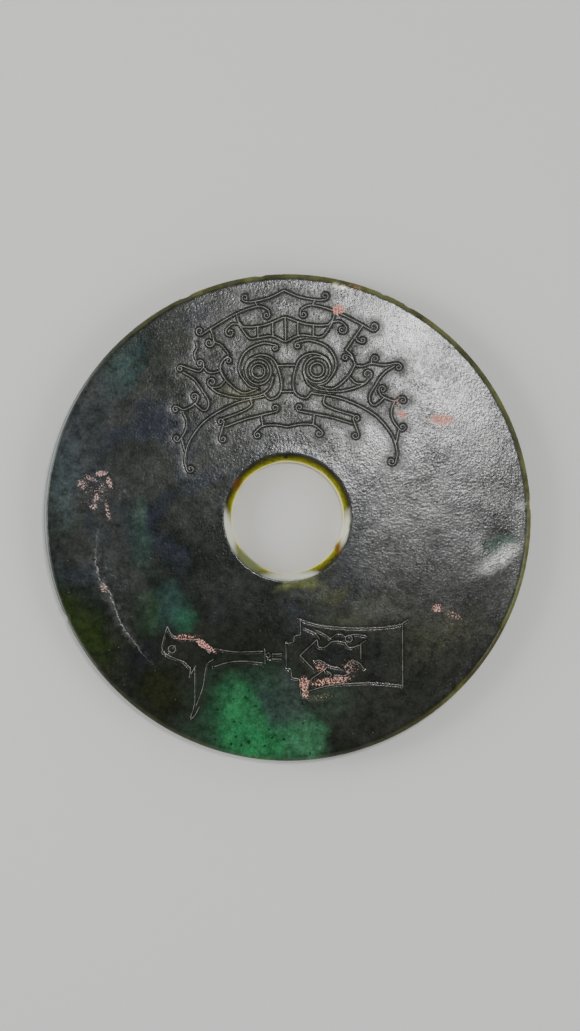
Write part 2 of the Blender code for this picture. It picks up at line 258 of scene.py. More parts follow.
# how far a line of the left half strays from its mirrored place, to the right and up
leftStrays = {
    "underEye": (1.5, -1.6),
    "eyeSwirl": (0.5, -0.7),
    "nose": (0.6, -0.1),
    "eye": (0.9, 0.0),
    "pupil": (0.9, 0.0),
    "cheek": (0.2, -0.8),
    "jaw": (0.5, -0.9),
    "earLoop": (0.5, -0.4),
    "earCurl": (0.0, -1.2),
    "earTail": (0.0, -1.4),
    "earDrop": (-0.2, -2.2),
    "earDropTail": (0.1, -1.0),
}

# the mask's middle line leans, and its left half is a little narrower
maskAxis = {"foot": (0.9, 0.0), "leanDegrees": 1.45, "leftShare": 0.96}

# lines of the left half that go their own way
leftLines = {
    "browFall": carved(
        (-31.6, 77.2), (-30.6, 74.5), (-30.0, 72.1), (-27.5, 70.9), (-25.4, 68.6), (-24.2, 66.9),
    ),
    "fallHook": carved((-30.3, 73.2), (-30.2, 72.0), endCurl=-1.9),
    "browReturn": carved((-24.6, 66.0), (-26.4, 64.5), (-27.6, 62.2), (-27.3, 59.4), (-25.8, 57.0)),
    "cheekBar": carved(
        (-27.4, 60.2), (-30.6, 59.3), (-33.0, 59.9), (-34.5, 61.4), (-36.2, 59.9), (-39.8, 60.9),
        (-43.4, 62.2),
        endCurl=1.3,
    ),
    "sideWave": carved((-37.5, 72.0), (-37.1, 69.6), (-38.1, 67.2), (-37.6, 64.9)),
}

# the bar on the mask's axis, and the two axes below the bore
plainLines = {
    "crownBarMiddle": carved((-1.0, 81.9), (-0.8, 72.8)),
    "birdFront": carved(
        (-49.3, -44.6), (-50.7, -49.4), (-51.5, -53.3), (-50.1, -55.8), (-45.6, -58.0),
        (-42.6, -59.2), (-39.7, -62.1),
    ),
    "birdTop": carved(
        (-49.3, -44.6), (-47.6, -47.7), (-43.7, -49.9), (-37.5, -50.0), (-34.5, -51.9),
        (-31.6, -54.9), (-30.0, -53.9),
    ),
    "beak": carved((-37.7, -60.9), (-39.5, -64.1)),
    "beakLow": carved((-39.7, -62.1), (-40.3, -65.7)),
    "shaftTop": carved((-30.0, -53.8), (-21.0, -55.1), (-10.1, -54.8)),
    "shaftLow": carved((-30.0, -61.1), (-24.3, -59.4), (-18.3, -58.9), (-10.5, -59.7)),
    "shaftEnd": carved((-9.4, -53.8), (-9.2, -60.1)),
    "linkTop": carved((-6.4, -56.1), (-2.3, -55.9)),
    "linkLow": carved((-6.4, -58.0), (-2.5, -58.1)),
    "bladeBack": carved(
        (-30.4, -58.2), (-32.6, -59.7), (-33.7, -62.9), (-34.7, -69.5), (-37.5, -77.3),
    ),
    "bladeTip": carved((-36.1, -77.5), (-37.8, -80.8), (-39.8, -82.9)),
    "bladeFront": carved((-38.0, -62.0), (-38.0, -70.8), (-38.1, -76.1), (-39.8, -82.3)),
    "axeTop": carved(
        (4.7, -41.7), (13.3, -44.2), (25.6, -45.3), (38.0, -45.1), (45.7, -44.0), (49.4, -41.9),
    ),
    "axeEdge": carved((47.1, -43.7), (47.2, -69.6)),
    "axeLow": carved((46.7, -68.8), (34.1, -67.8), (21.5, -68.4), (14.3, -69.5), (6.8, -71.8)),
    "axeButt": carved((-0.7, -51.1), (-0.5, -61.3)),
    "leafOuter": carved((7.4, -45.6), (11.2, -47.5), (13.1, -49.9)),
    "leafInner": carved((11.7, -46.2), (15.7, -48.3), (16.9, -49.4)),
    "leafLow": carved((12.3, -50.5), (12.8, -53.1), (15.5, -53.1), (18.6, -50.8), (23.8, -51.3)),
    "leafWave": carved((17.8, -49.4), (20.7, -47.8), (24.0, -49.0)),
    "ringTail": carved((23.5, -51.3), (25.6, -53.4), (29.7, -52.3)),
    "ringTop": carved((26.1, -48.1), (28.9, -48.0), (32.2, -48.6)),
    "spine": carved((30.0, -52.3), (30.1, -57.9)),
    "spineHook": carved((30.0, -51.9), (32.2, -50.4)),
    "finTop": carved((11.3, -58.9), (13.5, -58.7), (16.9, -60.7), (21.5, -61.8)),
    "finLow": carved((9.6, -66.3), (13.3, -63.7), (16.3, -61.3)),
    "finHook": carved((15.6, -66.9), (18.0, -64.6), (16.0, -63.0)),
    "lowCurl": carved((23.2, -61.6), (25.8, -58.9), (29.3, -59.6), (31.2, -62.0)),
    "lowWave": carved((19.5, -64.7), (22.6, -65.0), (25.4, -63.8)),
}

# straight runs that meet at corners
cornerLines = {
    "axeStepTop": [(5.2, -42.1), (5.3, -48.2), (2.9, -48.5), (2.4, -51.3), (-0.7, -51.7)],
    "axeStepLow": [(-0.9, -61.8), (1.4, -62.4), (1.7, -65.7), (5.0, -66.3), (5.4, -72.0)],
    "chevron": [(11.8, -50.3), (5.1, -56.6), (10.7, -62.4)],
}

plainRings = {
    "birdEye": {"centre": (-47.4, -54.0), "radius": 1.5},
    "linkKnot": {"centre": (-8.0, -56.5), "radius": 0.9},
    "axeRing": {"centre": (25.1, -49.7), "radius": 1.4},
    "lowRing": {"centre": (25.0, -62.2), "radius": 1.4},
}

# how the drawing becomes points: steps of the grid along a curve, and round a ring or a curl
drawing = {
    "curveStep": 0.5,
    "ringSteps": 24,
    "curlDegrees": 420,
    "curlStep": 20,
    "curlShrinksTo": 0.28,
}


def smoothPoints(points):
    # a Catmull-Rom curve through the points
    places = [Vector(point) for point in points]
    if len(places) < 3:
        return places
    chain = [places[0] * 2 - places[1]] + places + [places[-1] * 2 - places[-2]]
    line = []
    for before, start, end, after in zip(chain, chain[1:], chain[2:], chain[3:]):
        steps = max(2, int((end - start).length / drawing["curveStep"]))
        for step in range(steps):
            share = step / steps
            line.append(
                start
                + (end - before) * (share / 2)
                + (before * 2 - start * 5 + end * 4 - after) * (share ** 2 / 2)
                + (start * 3 - before - end * 3 + after) * (share ** 3 / 2)
            )
    return line + [places[-1]]


def curlPoints(start, heading, radius):
    # the line goes on into a spiral that tightens as it turns
    halfStep = math.radians(drawing["curlStep"] / 2)
    half = Matrix.Rotation(math.copysign(halfStep, radius), 2)
    steps = int(drawing["curlDegrees"] / drawing["curlStep"])
    place = start.copy()
    curl = []
    for step in range(steps):
        tightened = abs(radius) * (1 - (1 - drawing["curlShrinksTo"]) * step / steps)
        heading = half @ heading
        place = place + heading * tightened * 2 * math.sin(halfStep)
        heading = half @ heading
        curl.append(place.copy())
    return curl


def linePoints(line):
    points = smoothPoints(line["points"])
    if line["endCurl"]:
        heading = (points[-1] - points[-2]).normalized()
        points = points + curlPoints(points[-1], heading, line["endCurl"])
    if line["startCurl"]:
        heading = (points[0] - points[1]).normalized()
        points = curlPoints(points[0], heading, line["startCurl"])[::-1] + points
    return points


def ringPoints(ring):
    steps = drawing["ringSteps"]
    centre = Vector(ring["centre"])
    turns = [2 * math.pi * step / steps for step in range(steps + 1)]
    radius = ring["radius"]
    return [centre + Vector((math.cos(turn), math.sin(turn))) * radius for turn in turns]


def leftSide(name, point):
    lean = math.radians(maskAxis["leanDegrees"])
    along = Vector((-math.sin(lean), math.cos(lean)))
    across = Vector((math.cos(lean), math.sin(lean)))
    foot = Vector(maskAxis["foot"])
    offset = point - foot
    stray = Vector(leftStrays.get(name, (0, 0)))
    up = along * offset.dot(along)
    return foot + up - across * offset.dot(across) * maskAxis["leftShare"] + stray


def carvedLines():
    # every carved line as points in metres on the face
    lines = []
    for name, line in maskLines.items():
        right = linePoints(line)
        left = [leftSide(name, point) for point in right]
        if name in leftLines:
            lines.append(right)
        else:
            lines += [left[:0:-1] + right] if line["acrossAxis"] else [right, left]
    lines += [linePoints(line) for line in leftLines.values()]
    for name, ring in maskRings.items():
        right = ringPoints(ring)
        lines += [right, [leftSide(name, point) for point in right]]
    lines += [linePoints(line) for line in plainLines.values()]
    lines += [[Vector(point) for point in corners] for corners in cornerLines.values()]
    lines += [ringPoints(ring) for ring in plainRings.values()]
    return [np.array([tuple(point) for point in line]) * gridStep for line in lines]


# the disc's mesh: points set thickly beside the lines and thinly elsewhere, all in metres
discShape = {
    "lineSpacing": 0.00038,
    "cornerSpacing": 0.0002,
    "fewPoints": 12,  # a line of fewer points is a run of straight lines with corners
    "rowOffsets": [0, 0.00020, 0.00038, 0.00056, 0.00080, 0.00106],
    "closest": 0.00016,
    "plainSpacing": 0.00125,
    "backSpacing": 0.0030,
    "jitter": 0.2,
    "seed": 7,
    "busyCell": 0.0008,
    "lineMargins": (0.0008, 0.0010),  # from the bore's edge and from the rim's
    "plainMargins": (0.0011, 0.0013),
    "backMargins": (0.001, 0.002),
    "around": 480,
    "roundingSteps": 6,
    "edgeSteps": 3,
    "lipRounding": 0.0005,
    "lipEndDegrees": 155,
    "lipSteps": 4,
    "wallSteps": 14,
    "backWallSteps": 6,
    "backLip": 0.0006,
    "edgeFlat": 0.0004,
}

# the worn hollow at the right of the face
hollow = {"x": 0.0878, "y": -0.0115, "radius": 0.0090, "depth": 0.0002}

# chips in the rim
nicks = {
    "crownLeft": {"degrees": 114.6, "length": 0.0050, "depth": 0.0005},
    "crownTop": {"degrees": 96.4, "length": 0.0030, "depth": 0.0004},
    "crownRight": {"degrees": 66.9, "length": 0.0024, "depth": 0.0005},
    "shoulder": {"degrees": 60.2, "length": 0.0040, "depth": 0.0004},
    "rightEdge": {"degrees": 3.0, "length": 0.0060, "depth": 0.0004},
    "lowLeft": {"degrees": 204.3, "length": 0.0040, "depth": 0.0006},
}

# a nick fades out over the face and down the edge: where from and over how far, in metres
nickFade = {"face": 0.002, "overFace": 0.003, "edge": 0.003, "overEdge": 0.005}


def evenly(line, spacing):
    # the same line with points at equal distances
    steps = np.hypot(*np.diff(line, axis=0).T)
    along = np.concatenate([[0], np.cumsum(steps)])
    count = max(2, int(along[-1] / spacing) + 1)
    wanted = np.linspace(0, along[-1], count)
    return np.column_stack([np.interp(wanted, along, line[:, axis]) for axis in (0, 1)])


def pointsBesideLines(lines):
    # rows on both sides of each line, nearest rows first
    candidates = []
    for offset in discShape["rowOffsets"]:
        for line in lines:
            points = evenly(line, discShape["lineSpacing"])
            ahead = np.gradient(points, axis=0)
            ahead /= np.maximum(np.hypot(*ahead.T), 1e-9)[:, None]
            side = np.column_stack([-ahead[:, 1], ahead[:, 0]])
            candidates.append(points + side * offset)
            if offset:
                candidates.append(points - side * offset)
    return np.concatenate(candidates)


def hexagonPoints(spacing, limit):
    rows = int(limit / (spacing * math.sqrt(0.75))) + 1
    columns = int(limit / spacing) + 1
    row, column = np.mgrid[-rows:rows + 1, -columns:columns + 1]
    most = discShape["jitter"]
    draws = np.random.default_rng(discShape["seed"]).uniform(-most, most, (2, *row.shape))
    jitter = draws * spacing
    x = (column + (row % 2) / 2) * spacing + jitter[0]
    y = row * spacing * math.sqrt(0.75) + jitter[1]
    return np.column_stack([x.ravel(), y.ravel()])


def thinned(points, closest):
    # keeps a point only where no kept one is closer than closest
    cells = {}
    kept = []
    for x, y in points.tolist():
        column, row = math.floor(x / closest), math.floor(y / closest)
        near = [
            other
            for across in (-1, 0, 1)
            for up in (-1, 0, 1)
            for other in cells.get((column + across, row + up), ())
        ]
        if all((x - a) ** 2 + (y - b) ** 2 >= closest ** 2 for a, b in near):
            cells.setdefault((column, row), []).append((x, y))
            kept.append((x, y))
    return np.array(kept)


def clearOfEdges(points, inner, outer, margins):
    distance = np.hypot(points[:, 0], points[:, 1])
    return points[(distance > inner + margins[0]) & (distance < outer - margins[1])]


def flatTriangles(innerRing, outerRing, inside):
    # one flat face between two rings, its triangles wound to face up, worked in millimetres
    tolerance = 1e-6
    points = np.concatenate([innerRing, outerRing, inside]) * 1000
    count = len(innerRing)
    edges = [(step, (step + 1) % count) for step in range(count)]
    edges += [(count + step, count + (step + 1) % count) for step in range(count)]
    flatPoints = [Vector(point) for point in points]
    corners, _, triangles, sources, _, _ = delaunay_2d_cdt(flatPoints, edges, [], 0, tolerance)
    places = np.array([tuple(corner) for corner in corners])
    source = [origins[0] for origins in sources]
    limit = np.hypot(*innerRing[0]) * 1000
    kept = []
    for triangle in triangles:
        middle = places[triangle].mean(axis=0)
        if np.hypot(*middle) > limit * math.cos(math.pi / count):
            a, b, c = places[triangle]
            turn = (b[0] - a[0]) * (c[1] - a[1]) - (b[1] - a[1]) * (c[0] - a[0])
            order = triangle if turn > 0 else triangle[::-1]
            kept.append([source[corner] for corner in order])
    return kept


def ring(radius, height, count):
    turns = [2 * math.pi * step / count for step in range(count)]
    return np.array([(math.cos(turn) * radius, math.sin(turn) * radius, height) for turn in turns])


def quarter(radius, middle, startDegrees, endDegrees, steps):
    # points of a rounding in the section, from start to end
    across, up = middle
    turns = np.radians(np.linspace(startDegrees, endDegrees, steps + 1))
    return [(across + radius * math.cos(turn), up + radius * math.sin(turn)) for turn in turns]


def rimSection():
    # from the face's outer edge down the rim to the back's outer edge
    rounding = discRadius - faceOuter
    steps = discShape["roundingSteps"]
    straight = np.linspace(faceHeight - rounding, rounding, discShape["edgeSteps"] + 1)[1:-1]
    section = quarter(rounding, (faceOuter, faceHeight - rounding), 90, 0, steps)
    section += [(discRadius, height) for height in straight]
    return section + quarter(rounding, (backOuter, rounding), 0, -90, steps)


def boreSection():
    # from the face's inner edge down the bore to the back's inner edge
    lip = discShape["lipRounding"]
    lipMiddle = (faceInner, faceHeight - lip)
    section = quarter(lip, lipMiddle, 90, discShape["lipEndDegrees"], discShape["lipSteps"])
    lastRadius, lastHeight = section[-1]
    for share in np.linspace(0, 1, discShape["wallSteps"] + 1)[1:]:
        height = lastHeight + (waistHeight - lastHeight) * share
        radius = lastRadius + (waistRadius - lastRadius) * share
        section.append((radius, height))
    backLip = discShape["backLip"]
    for share in np.linspace(0, 1, discShape["backWallSteps"] + 1)[1:-1]:
        height = waistHeight * (1 - share)
        radius = waistRadius + (backInner - backLip - waistRadius) * share
        section.append((radius, height))
    return section + [(backInner - backLip * 0.5, backLip * 0.3), (backInner, 0)]


def facePoints(lines):
    # thick beside the lines, and none of the plain ones in a cell that already has some
    beside = pointsBesideLines(lines)
    beside = clearOfEdges(beside, faceInner, faceOuter, discShape["lineMargins"])
    beside = thinned(beside, discShape["closest"])
    plain = hexagonPoints(discShape["plainSpacing"], discRadius)
    plain = clearOfEdges(plain, faceInner, faceOuter, discShape["plainMargins"])

    def cellOf(x, y):
        return math.floor(x / discShape["busyCell"]), math.floor(y / discShape["busyCell"])

    busy = {cellOf(x, y) for x, y in beside.tolist()}
    plain = np.array([(x, y) for x, y in plain.tolist() if cellOf(x, y) not in busy])
    return np.concatenate([beside, plain])


def discMesh(lines):
    # rings are shared between neighbouring bands, so the mesh is closed
    around = discShape["around"]
    flat = discShape["edgeFlat"]  # a narrow flat ring keeps the face's shading level to its edges
    rim = [(faceOuter - flat, faceHeight), (faceOuter, faceHeight)] + rimSection()[1:]
    wall = [(faceInner + flat, faceHeight), (faceInner, faceHeight)] + boreSection()[1:]
    onTheFace = facePoints(lines)
    onTheBack = hexagonPoints(discShape["backSpacing"], discRadius)
    onTheBack = clearOfEdges(onTheBack, backInner, backOuter, discShape["backMargins"])

    vertices = []

    def addRings(section):
        starts = []
        for radius, height in section:
            starts.append(len(vertices))
            vertices.extend(ring(radius, height, around))
        return starts

    rimStarts = addRings(rim)
    boreStarts = addRings(wall)
    faceStart = len(vertices)
    vertices.extend((x, y, faceHeight) for x, y in onTheFace)
    backStart = len(vertices)
    vertices.extend((x, y, 0.0) for x, y in onTheBack)
    vertices = np.array(vertices)

    faces = []
    for starts, outward in ((rimStarts, True), (boreStarts, False)):
        for upper, lower in zip(starts, starts[1:]):
            for step in range(around):
                after = (step + 1) % around
                quad = [upper + step, lower + step, lower + after, upper + after]
                faces.append(quad if outward else quad[::-1])

    def addFlat(innerStart, outerStart, insideStart, inside, upward):
        innerRing = vertices[innerStart:innerStart + around, :2]
        outerRing = vertices[outerStart:outerStart + around, :2]
        for triangle in flatTriangles(innerRing, outerRing, inside):
            moved = [
                corner + innerStart if corner < around
                else corner - around + outerStart if corner < 2 * around
                else corner - 2 * around + insideStart
                for corner in triangle
            ]
            faces.append(moved if upward else moved[::-1])

    addFlat(boreStarts[0], rimStarts[0], faceStart, onTheFace, True)
    addFlat(boreStarts[-1], rimStarts[-1], backStart, onTheBack, False)
    return vertices, faces


def addMesh(name, vertices, faces):
    mesh = bpy.data.meshes.new(name)
    mesh.from_pydata([tuple(vertex) for vertex in vertices], [], faces)
    mesh.update()
    made = bpy.data.objects.new(name, mesh)
    bpy.context.scene.collection.objects.link(made)
    return made


def addNicks(vertices):
    # the rim is pushed in where it is chipped
    angles = np.arctan2(vertices[:, 1], vertices[:, 0])
    radii = np.hypot(vertices[:, 0], vertices[:, 1])
    inset = np.zeros(len(vertices))
    for nick in nicks.values():
        apart = (angles - math.radians(nick["degrees"]) + math.pi) % (2 * math.pi) - math.pi
        along = np.abs(apart) * discRadius / (nick["length"] / 2)
        inset += nick["depth"] * np.clip(1 - along ** 2, 0, 1)
    nearRim = np.clip((radii - faceOuter + nickFade["face"]) / nickFade["overFace"], 0, 1)
    nearTop = np.clip((vertices[:, 2] - nickFade["edge"]) / nickFade["overEdge"], 0, 1)
    vertices[:, :2] *= (1 - inset * nearRim * nearTop / np.maximum(radii, 1e-6))[:, None]


# the carving is pressed into the face by its distance from the nearest line
carving = {
    "Ridge Width": 0.00044,
    "Groove Width": 0.00034,
    "Groove Spread": 1.15,
    "Groove Depth": 0.00017,
    "Shoulder Width": 0.00046,
    "Shoulder Depth": 0.000034,
    "Worn Share": 0.15,  # what is left of the shoulders at the foot
    "Worn Below": -0.045,
    "Whole Above": -0.015,
    "Edge Fade": 0.004,
    "Undulation": 0.00009,
    "Undulation Size": 0.022,
    "Hollow Depth": hollow["depth"],
    "Hollow Radius": hollow["radius"],
    "Hollow Place": (hollow["x"], hollow["y"], faceHeight),
    "Face Height": faceHeight,
    "Face Inner": faceInner,
    "Face Outer": faceOuter,
}


def linesObject(lines):
    curve = bpy.data.curves.new("carvedLines", "CURVE")
    curve.dimensions = "3D"
    for line in lines:
        hasCorners = len(line) < discShape["fewPoints"]
        points = evenly(line, discShape["cornerSpacing"]) if hasCorners else line
        spline = curve.splines.new("POLY")
        spline.points.add(len(points) - 1)
        for point, (x, y) in zip(spline.points, points):
            point.co = (x, y, faceHeight, 1)
    made = bpy.data.objects.new("carvedLines", curve)
    bpy.context.scene.collection.objects.link(made)
    return made


def carvingTree():
    group = bpy.data.node_groups.new("pressed carving", "GeometryNodeTree")
    kinds = {"Geometry": "Geometry", "Lines": "Object", "Finish": "Material"}
    for name, size in carving.items():
        kinds[name] = "Vector" if isinstance(size, tuple) else "Float"
    for name, kind in kinds.items():
        group.interface.new_socket(name, in_out="INPUT", socket_type="NodeSocket" + kind)
    group.interface.new_socket("Geometry", in_out="OUTPUT", socket_type="NodeSocketGeometry")
    tree = NodeTree(group)
    given = group.nodes.new("NodeGroupInput")

    def value(name):
        return Number(tree, given.outputs[name])

    place = tree.add("GeometryNodeInputPosition")
    linesShape = tree.add("GeometryNodeObjectInfo", {}, {"Object": value("Lines")}, "Geometry")
    linesMesh = tree.add("GeometryNodeCurveToMesh", {}, {"Curve": linesShape})
    near = {"Geometry": linesMesh, "Sample Position": place}
    distance = tree.add("GeometryNodeProximity", {"target_element": "EDGES"}, near, "Distance")

    upTheFace = tree.add("ShaderNodeSeparateXYZ", {}, {0: place}, 1)
    height = tree.add("ShaderNodeSeparateXYZ", {}, {0: place}, 2)
    flat = tree.vector("MULTIPLY", place, (1, 1, 0))
    radius = tree.vector("LENGTH", flat, output=1)
    nearlyLevel = 0.00001
    onTop = height.join("GREATER_THAN", height, value("Face Height") - nearlyLevel)

    # the groove's section is a smooth trough on each side of the ridge
    middle = (value("Ridge Width") + value("Groove Width")) / 2
    across = abs(distance - middle) / (value("Groove Width") / 2)
    trough = tree.between(across, 0.0, value("Groove Spread"), 1.0, 0.0)
    grooveEnd = value("Ridge Width") / 2 + value("Groove Width")
    shoulderEnd = grooveEnd + value("Shoulder Width")
    shoulder = tree.between(distance, grooveEnd, shoulderEnd, 1.0, 0.0)
    shoulder = shoulder * tree.between(
        upTheFace, value("Worn Below"), value("Whole Above"), value("Worn Share"), 1.0
    )
    groove = trough * value("Groove Depth") + shoulder * value("Shoulder Depth")

    # the face waves a little, but not at its edges
    inner, outer = value("Face Inner"), value("Face Outer")
    fromInner = tree.between(radius, inner, inner + value("Edge Fade"))
    fromOuter = tree.between(radius, outer - value("Edge Fade"), outer, 1.0, 0.0)
    wave = tree.noise(place, 1.0 / value("Undulation Size"), 2.0)
    wave = tree.between(wave, 0.3, 0.7, 0.0, 1.0, False) * value("Undulation")
    wave = wave * fromInner * fromOuter

    away = tree.vector("DISTANCE", place, value("Hollow Place"), output=1)
    dish = tree.between(away / value("Hollow Radius"), 0.0, 1.0, 1.0, 0.0)
    dish = dish * value("Hollow Depth")

    sunk = (groove + wave + dish) * onTop
    offset = tree.add("ShaderNodeCombineXYZ", {}, {2: -sunk})
    farAway = 0.01  # what is off the face counts as this far from every line
    marked = tree.add(
        "GeometryNodeStoreNamedAttribute",
        {"data_type": "FLOAT", "domain": "POINT"},
        {
            "Geometry": value("Geometry"),
            "Name": "lineDistance",
            "Value": distance + (1.0 - onTop) * farAway,
        },
    )
    pressed = tree.add("GeometryNodeSetPosition", {}, {"Geometry": marked, "Offset": offset})
    real = tree.add("GeometryNodeRealizeInstances", {}, {"Geometry": pressed})
    finish = {"Geometry": real, "Material": value("Finish")}
    finished = tree.add("GeometryNodeSetMaterial", {}, finish)
    output = group.nodes.new("NodeGroupOutput")
    group.links.new(finished.socket, output.inputs["Geometry"])
    return group


def converted(source, name, group, values):
    # the modifier's result becomes a plain mesh with the same name
    modifier = source.modifiers.new("carving", "NODES")
    modifier.node_group = group
    for item in group.interface.items_tree:
        if item.in_out == "INPUT" and item.name in values:
            modifier[item.identifier] = values[item.name]
    bpy.context.view_layer.update()
    evaluated = source.evaluated_get(bpy.context.evaluated_depsgraph_get())
    mesh = bpy.data.meshes.new_from_object(evaluated)
    source.modifiers.remove(modifier)
    made = bpy.data.objects.new(name, mesh)
    bpy.context.scene.collection.objects.link(made)
    bpy.data.objects.remove(source)
    return made


def patch(centre, reach, turn, soft, strength=1.0, paint=None):
    # a patch on the face, in millimetres and degrees, that fades more gently the softer it is
    return {
        "centre": centre,
        "reach": reach,
        "turn": turn,
        "soft": soft,
        "strength": strength,
        "paint": paint,
    }


patchFade = 0.7  # a patch of softness 1 fades over 0.7 of its reach, both ways from its edge

# clouds and stains in the stone, with painted shade and sheen in the worn hollow and a partly
# painted sheen at the left edge, laid on in this order
stainsAndPaintedLight = {
    "greenVeil": patch((-14, -84), (22, 20), 20, 0.9, 0.8, (0.020, 0.072, 0.036)),
    "greenHeart": patch((-19, -84), (9, 14), 24, 0.9, 0.85, (0.020, 0.150, 0.052)),
    "greenFoot": patch((-12, -92), (14, 9), 0, 0.9, 0.85, (0.020, 0.150, 0.052)),
    "paleGreen": patch((8, -91), (7, 10), 10, 0.9, 0.8, (0.040, 0.150, 0.068)),
    "greyHaze": patch((3, -73), (6, 11), 15, 0.9, 0.7, (0.040, 0.054, 0.047)),
    "greyBand": patch((-6.5, -77), (4, 11), 28, 0.9, 0.6, (0.030, 0.042, 0.042)),
    "tealNeck": patch((-43, -40.5), (5, 4.5), 0, 1.0, 0.7, (0.018, 0.092, 0.044)),
    "tealSide": patch((-50, -37), (7, 7), 30, 1.0, 0.65, (0.024, 0.062, 0.050)),
    "tealStreak": patch((-60, -7), (4, 13), 0, 1.0, 0.65, (0.018, 0.052, 0.036)),
    "paleSpot": patch((-60, 3.5), (3.6, 4), 0, 1.0, 0.65, (0.062, 0.115, 0.080)),
    "tealTop": patch((-67, 60), (6, 12), -30, 1.0, 0.65, (0.026, 0.060, 0.052)),
    # partly a grey haze in the stone and partly a painted sheen from the light at the left
    "edgeHaze": patch((-91, 16), (6, 17), -6, 1.0, 0.6, (0.056, 0.084, 0.082)),
    "oliveLeft": patch((-84, -44), (8, 17), 28, 0.9, 0.8, (0.017, 0.030, 0.004)),
    "greenSide": patch((-59, -39), (5, 8), 10, 1.0, 0.65, (0.018, 0.044, 0.020)),
    "oliveLow": patch((-52, -71), (8, 9), 30, 0.9, 0.85, (0.012, 0.015, 0.003)),
    "oliveAxe": patch((27, -41.5), (7, 3.6), 0, 1.0, 0.5, (0.040, 0.046, 0.008)),
    "oliveRight": patch((39, -36), (9, 3.6), 10, 1.0, 0.4, (0.044, 0.048, 0.020)),
    "oliveBore": patch((4.5, -27.6), (9, 2.6), 4, 1.0, 0.75, (0.130, 0.150, 0.045)),
    "oliveBoreLow": patch((20, -31), (6, 2.6), 10, 1.0, 0.5, (0.046, 0.050, 0.010)),
    "oliveUnder": patch((62, -48), (15, 8), 25, 1.0, 0.45, (0.042, 0.044, 0.020)),
    "greyUnder": patch((38, -40), (24, 6), 6, 1.0, 0.45, (0.052, 0.054, 0.046)),
    "maskOlive": patch((-17, 49.5), (9, 4), -10, 1.0, 0.6, (0.060, 0.058, 0.010)),
    # painted shade on the hollow's upper side and left edge, a green tint in the stone, and a
    # painted sheen on the hollow's lit lower side
    "hollowShade": patch((87, -4), (5, 3.2), 0, 0.8, 0.7, (0.008, 0.010, 0.008)),
    "hollowGreen": patch((86.5, -10), (7, 2.6), 24, 0.8, 0.7, (0.020, 0.070, 0.045)),
    "hollowEdgeShade": patch((80, -15), (1.6, 5.5), 0, 0.8, 0.7, (0.006, 0.014, 0.008)),
    "hollowSheen": patch((87, -16), (9.5, 5), 36, 0.9, 0.5, (0.110, 0.118, 0.110)),
    "leftHaze": patch((-84, 33), (12, 22), -20, 1.0, 0.55, (0.052, 0.056, 0.062)),
    "leftHazeLow": patch((-73, -4), (15, 26), 0, 1.0, 0.35, (0.046, 0.050, 0.052)),
    "greenRight": patch((20, -75), (9, 6), 0, 1.0, 0.6, (0.036, 0.056, 0.036)),
    "topHaze": patch((-2, 94), (34, 5), 0, 1.0, 0.5, (0.030, 0.032, 0.026)),
    "rimChip": patch((-10.9, 98.6), (1.6, 1.5), 0, 0.6, 0.9, (0.60, 0.56, 0.36)),
    "rimChipRight": patch((21, 97), (3.4, 1), -12, 0.6, 0.8, (0.42, 0.40, 0.26)),
}

# the whole mask is laid darker and more olive
maskDarker = patch((-2, 62), (46, 24), 0, 0.5)

# red earth left on the stone
redSpots = {
    "roofCorner": patch((20.7, 85.1), (3.0, 2.2), 0, 0.5, 1.0),
    "rimTop": patch((28.1, 95.0), (3.6, 1.3), -16, 0.7, 0.9),
    "browSide": patch((36.0, 86.0), (3.0, 4.5), 0, 0.9, 0.45),
    "earLine": patch((44.5, 47.0), (2.0, 4.0), -10, 0.8, 0.5),
    "earFoot": patch((47.0, 42.4), (2.2, 1.9), 0, 0.6, 1.0),
    "rightSpot": patch((63.0, 40.2), (5.6, 2.8), 0, 0.9, 0.95),
    "rightLow": patch((61.3, -37.1), (2.4, 2.0), 0, 0.7, 0.75),
    "rightTrail": patch((68.5, -40.2), (5.0, 1.6), -25, 0.8, 0.5),
    "leftTop": patch((-76.2, 18.1), (2.6, 1.2), 0, 0.6, 0.80),
    "leftBrow": patch((-80.5, 16.0), (3.4, 1.2), -24, 0.9, 0.62),
    "leftEdge": patch((-84.4, 13.7), (2.4, 2.2), 0, 0.8, 0.62),
    "leftSide": patch((-73.0, 14.2), (1.6, 3.0), 20, 0.8, 0.72),
    "leftMiddle": patch((-76.3, 12.0), (2.0, 2.6), 0, 0.9, 0.56),
    "leftHeart": patch((-78.5, 8.3), (1.6, 2.2), -15, 0.8, 0.72),
    "leftFoot": patch((-79.3, 4.5), (2.0, 1.4), 0, 0.8, 0.68),
    "leftTail": patch((-73.6, 2.8), (1.2, 5.0), 10, 0.8, 0.60),
    "leftScatter": patch((-79.0, 10.5), (8.0, 9.0), 0, 0.8, 0.36),
    "veinSpot": patch((-75.4, -28.9), (1.8, 2.4), 30, 0.8, 0.65),
    "birdNeck": patch((-34.0, -52.6), (5.6, 1.3), -34, 0.5, 0.78),
    "birdCrest": patch((-41.5, -49.2), (6.0, 1.6), -4, 0.8, 0.62),
    "axeCorner": patch((7.0, -69.6), (2.1, 5.0), 8, 0.6, 0.74),
    "axeFoot": patch((18.0, -67.0), (10.0, 2.0), 9, 0.8, 0.66),
    "axeHook": patch((13.5, -61.5), (3.0, 2.2), -20, 0.8, 0.6),
    "axeFin": patch((25.5, -61.0), (4.0, 3.0), 10, 0.9, 0.5),
    "axeDrops": patch((13.0, -74.0), (9.0, 2.0), 10, 0.9, 0.38),
}

# painted highlights where the light catches the stone, in broken strokes round the hollow
paintedGlints = {
    "hollowShine": patch((87.0, -17.0), (8.2, 2.7), 37, 1.05, 1.0),
    "hollowSpark": patch((77.3, -12.3), (1.9, 2.6), -10, 1.1, 0.4),
    "rimSpark": patch((95.5, 5.0), (2.4, 1.6), 20, 0.8, 0.6),
}

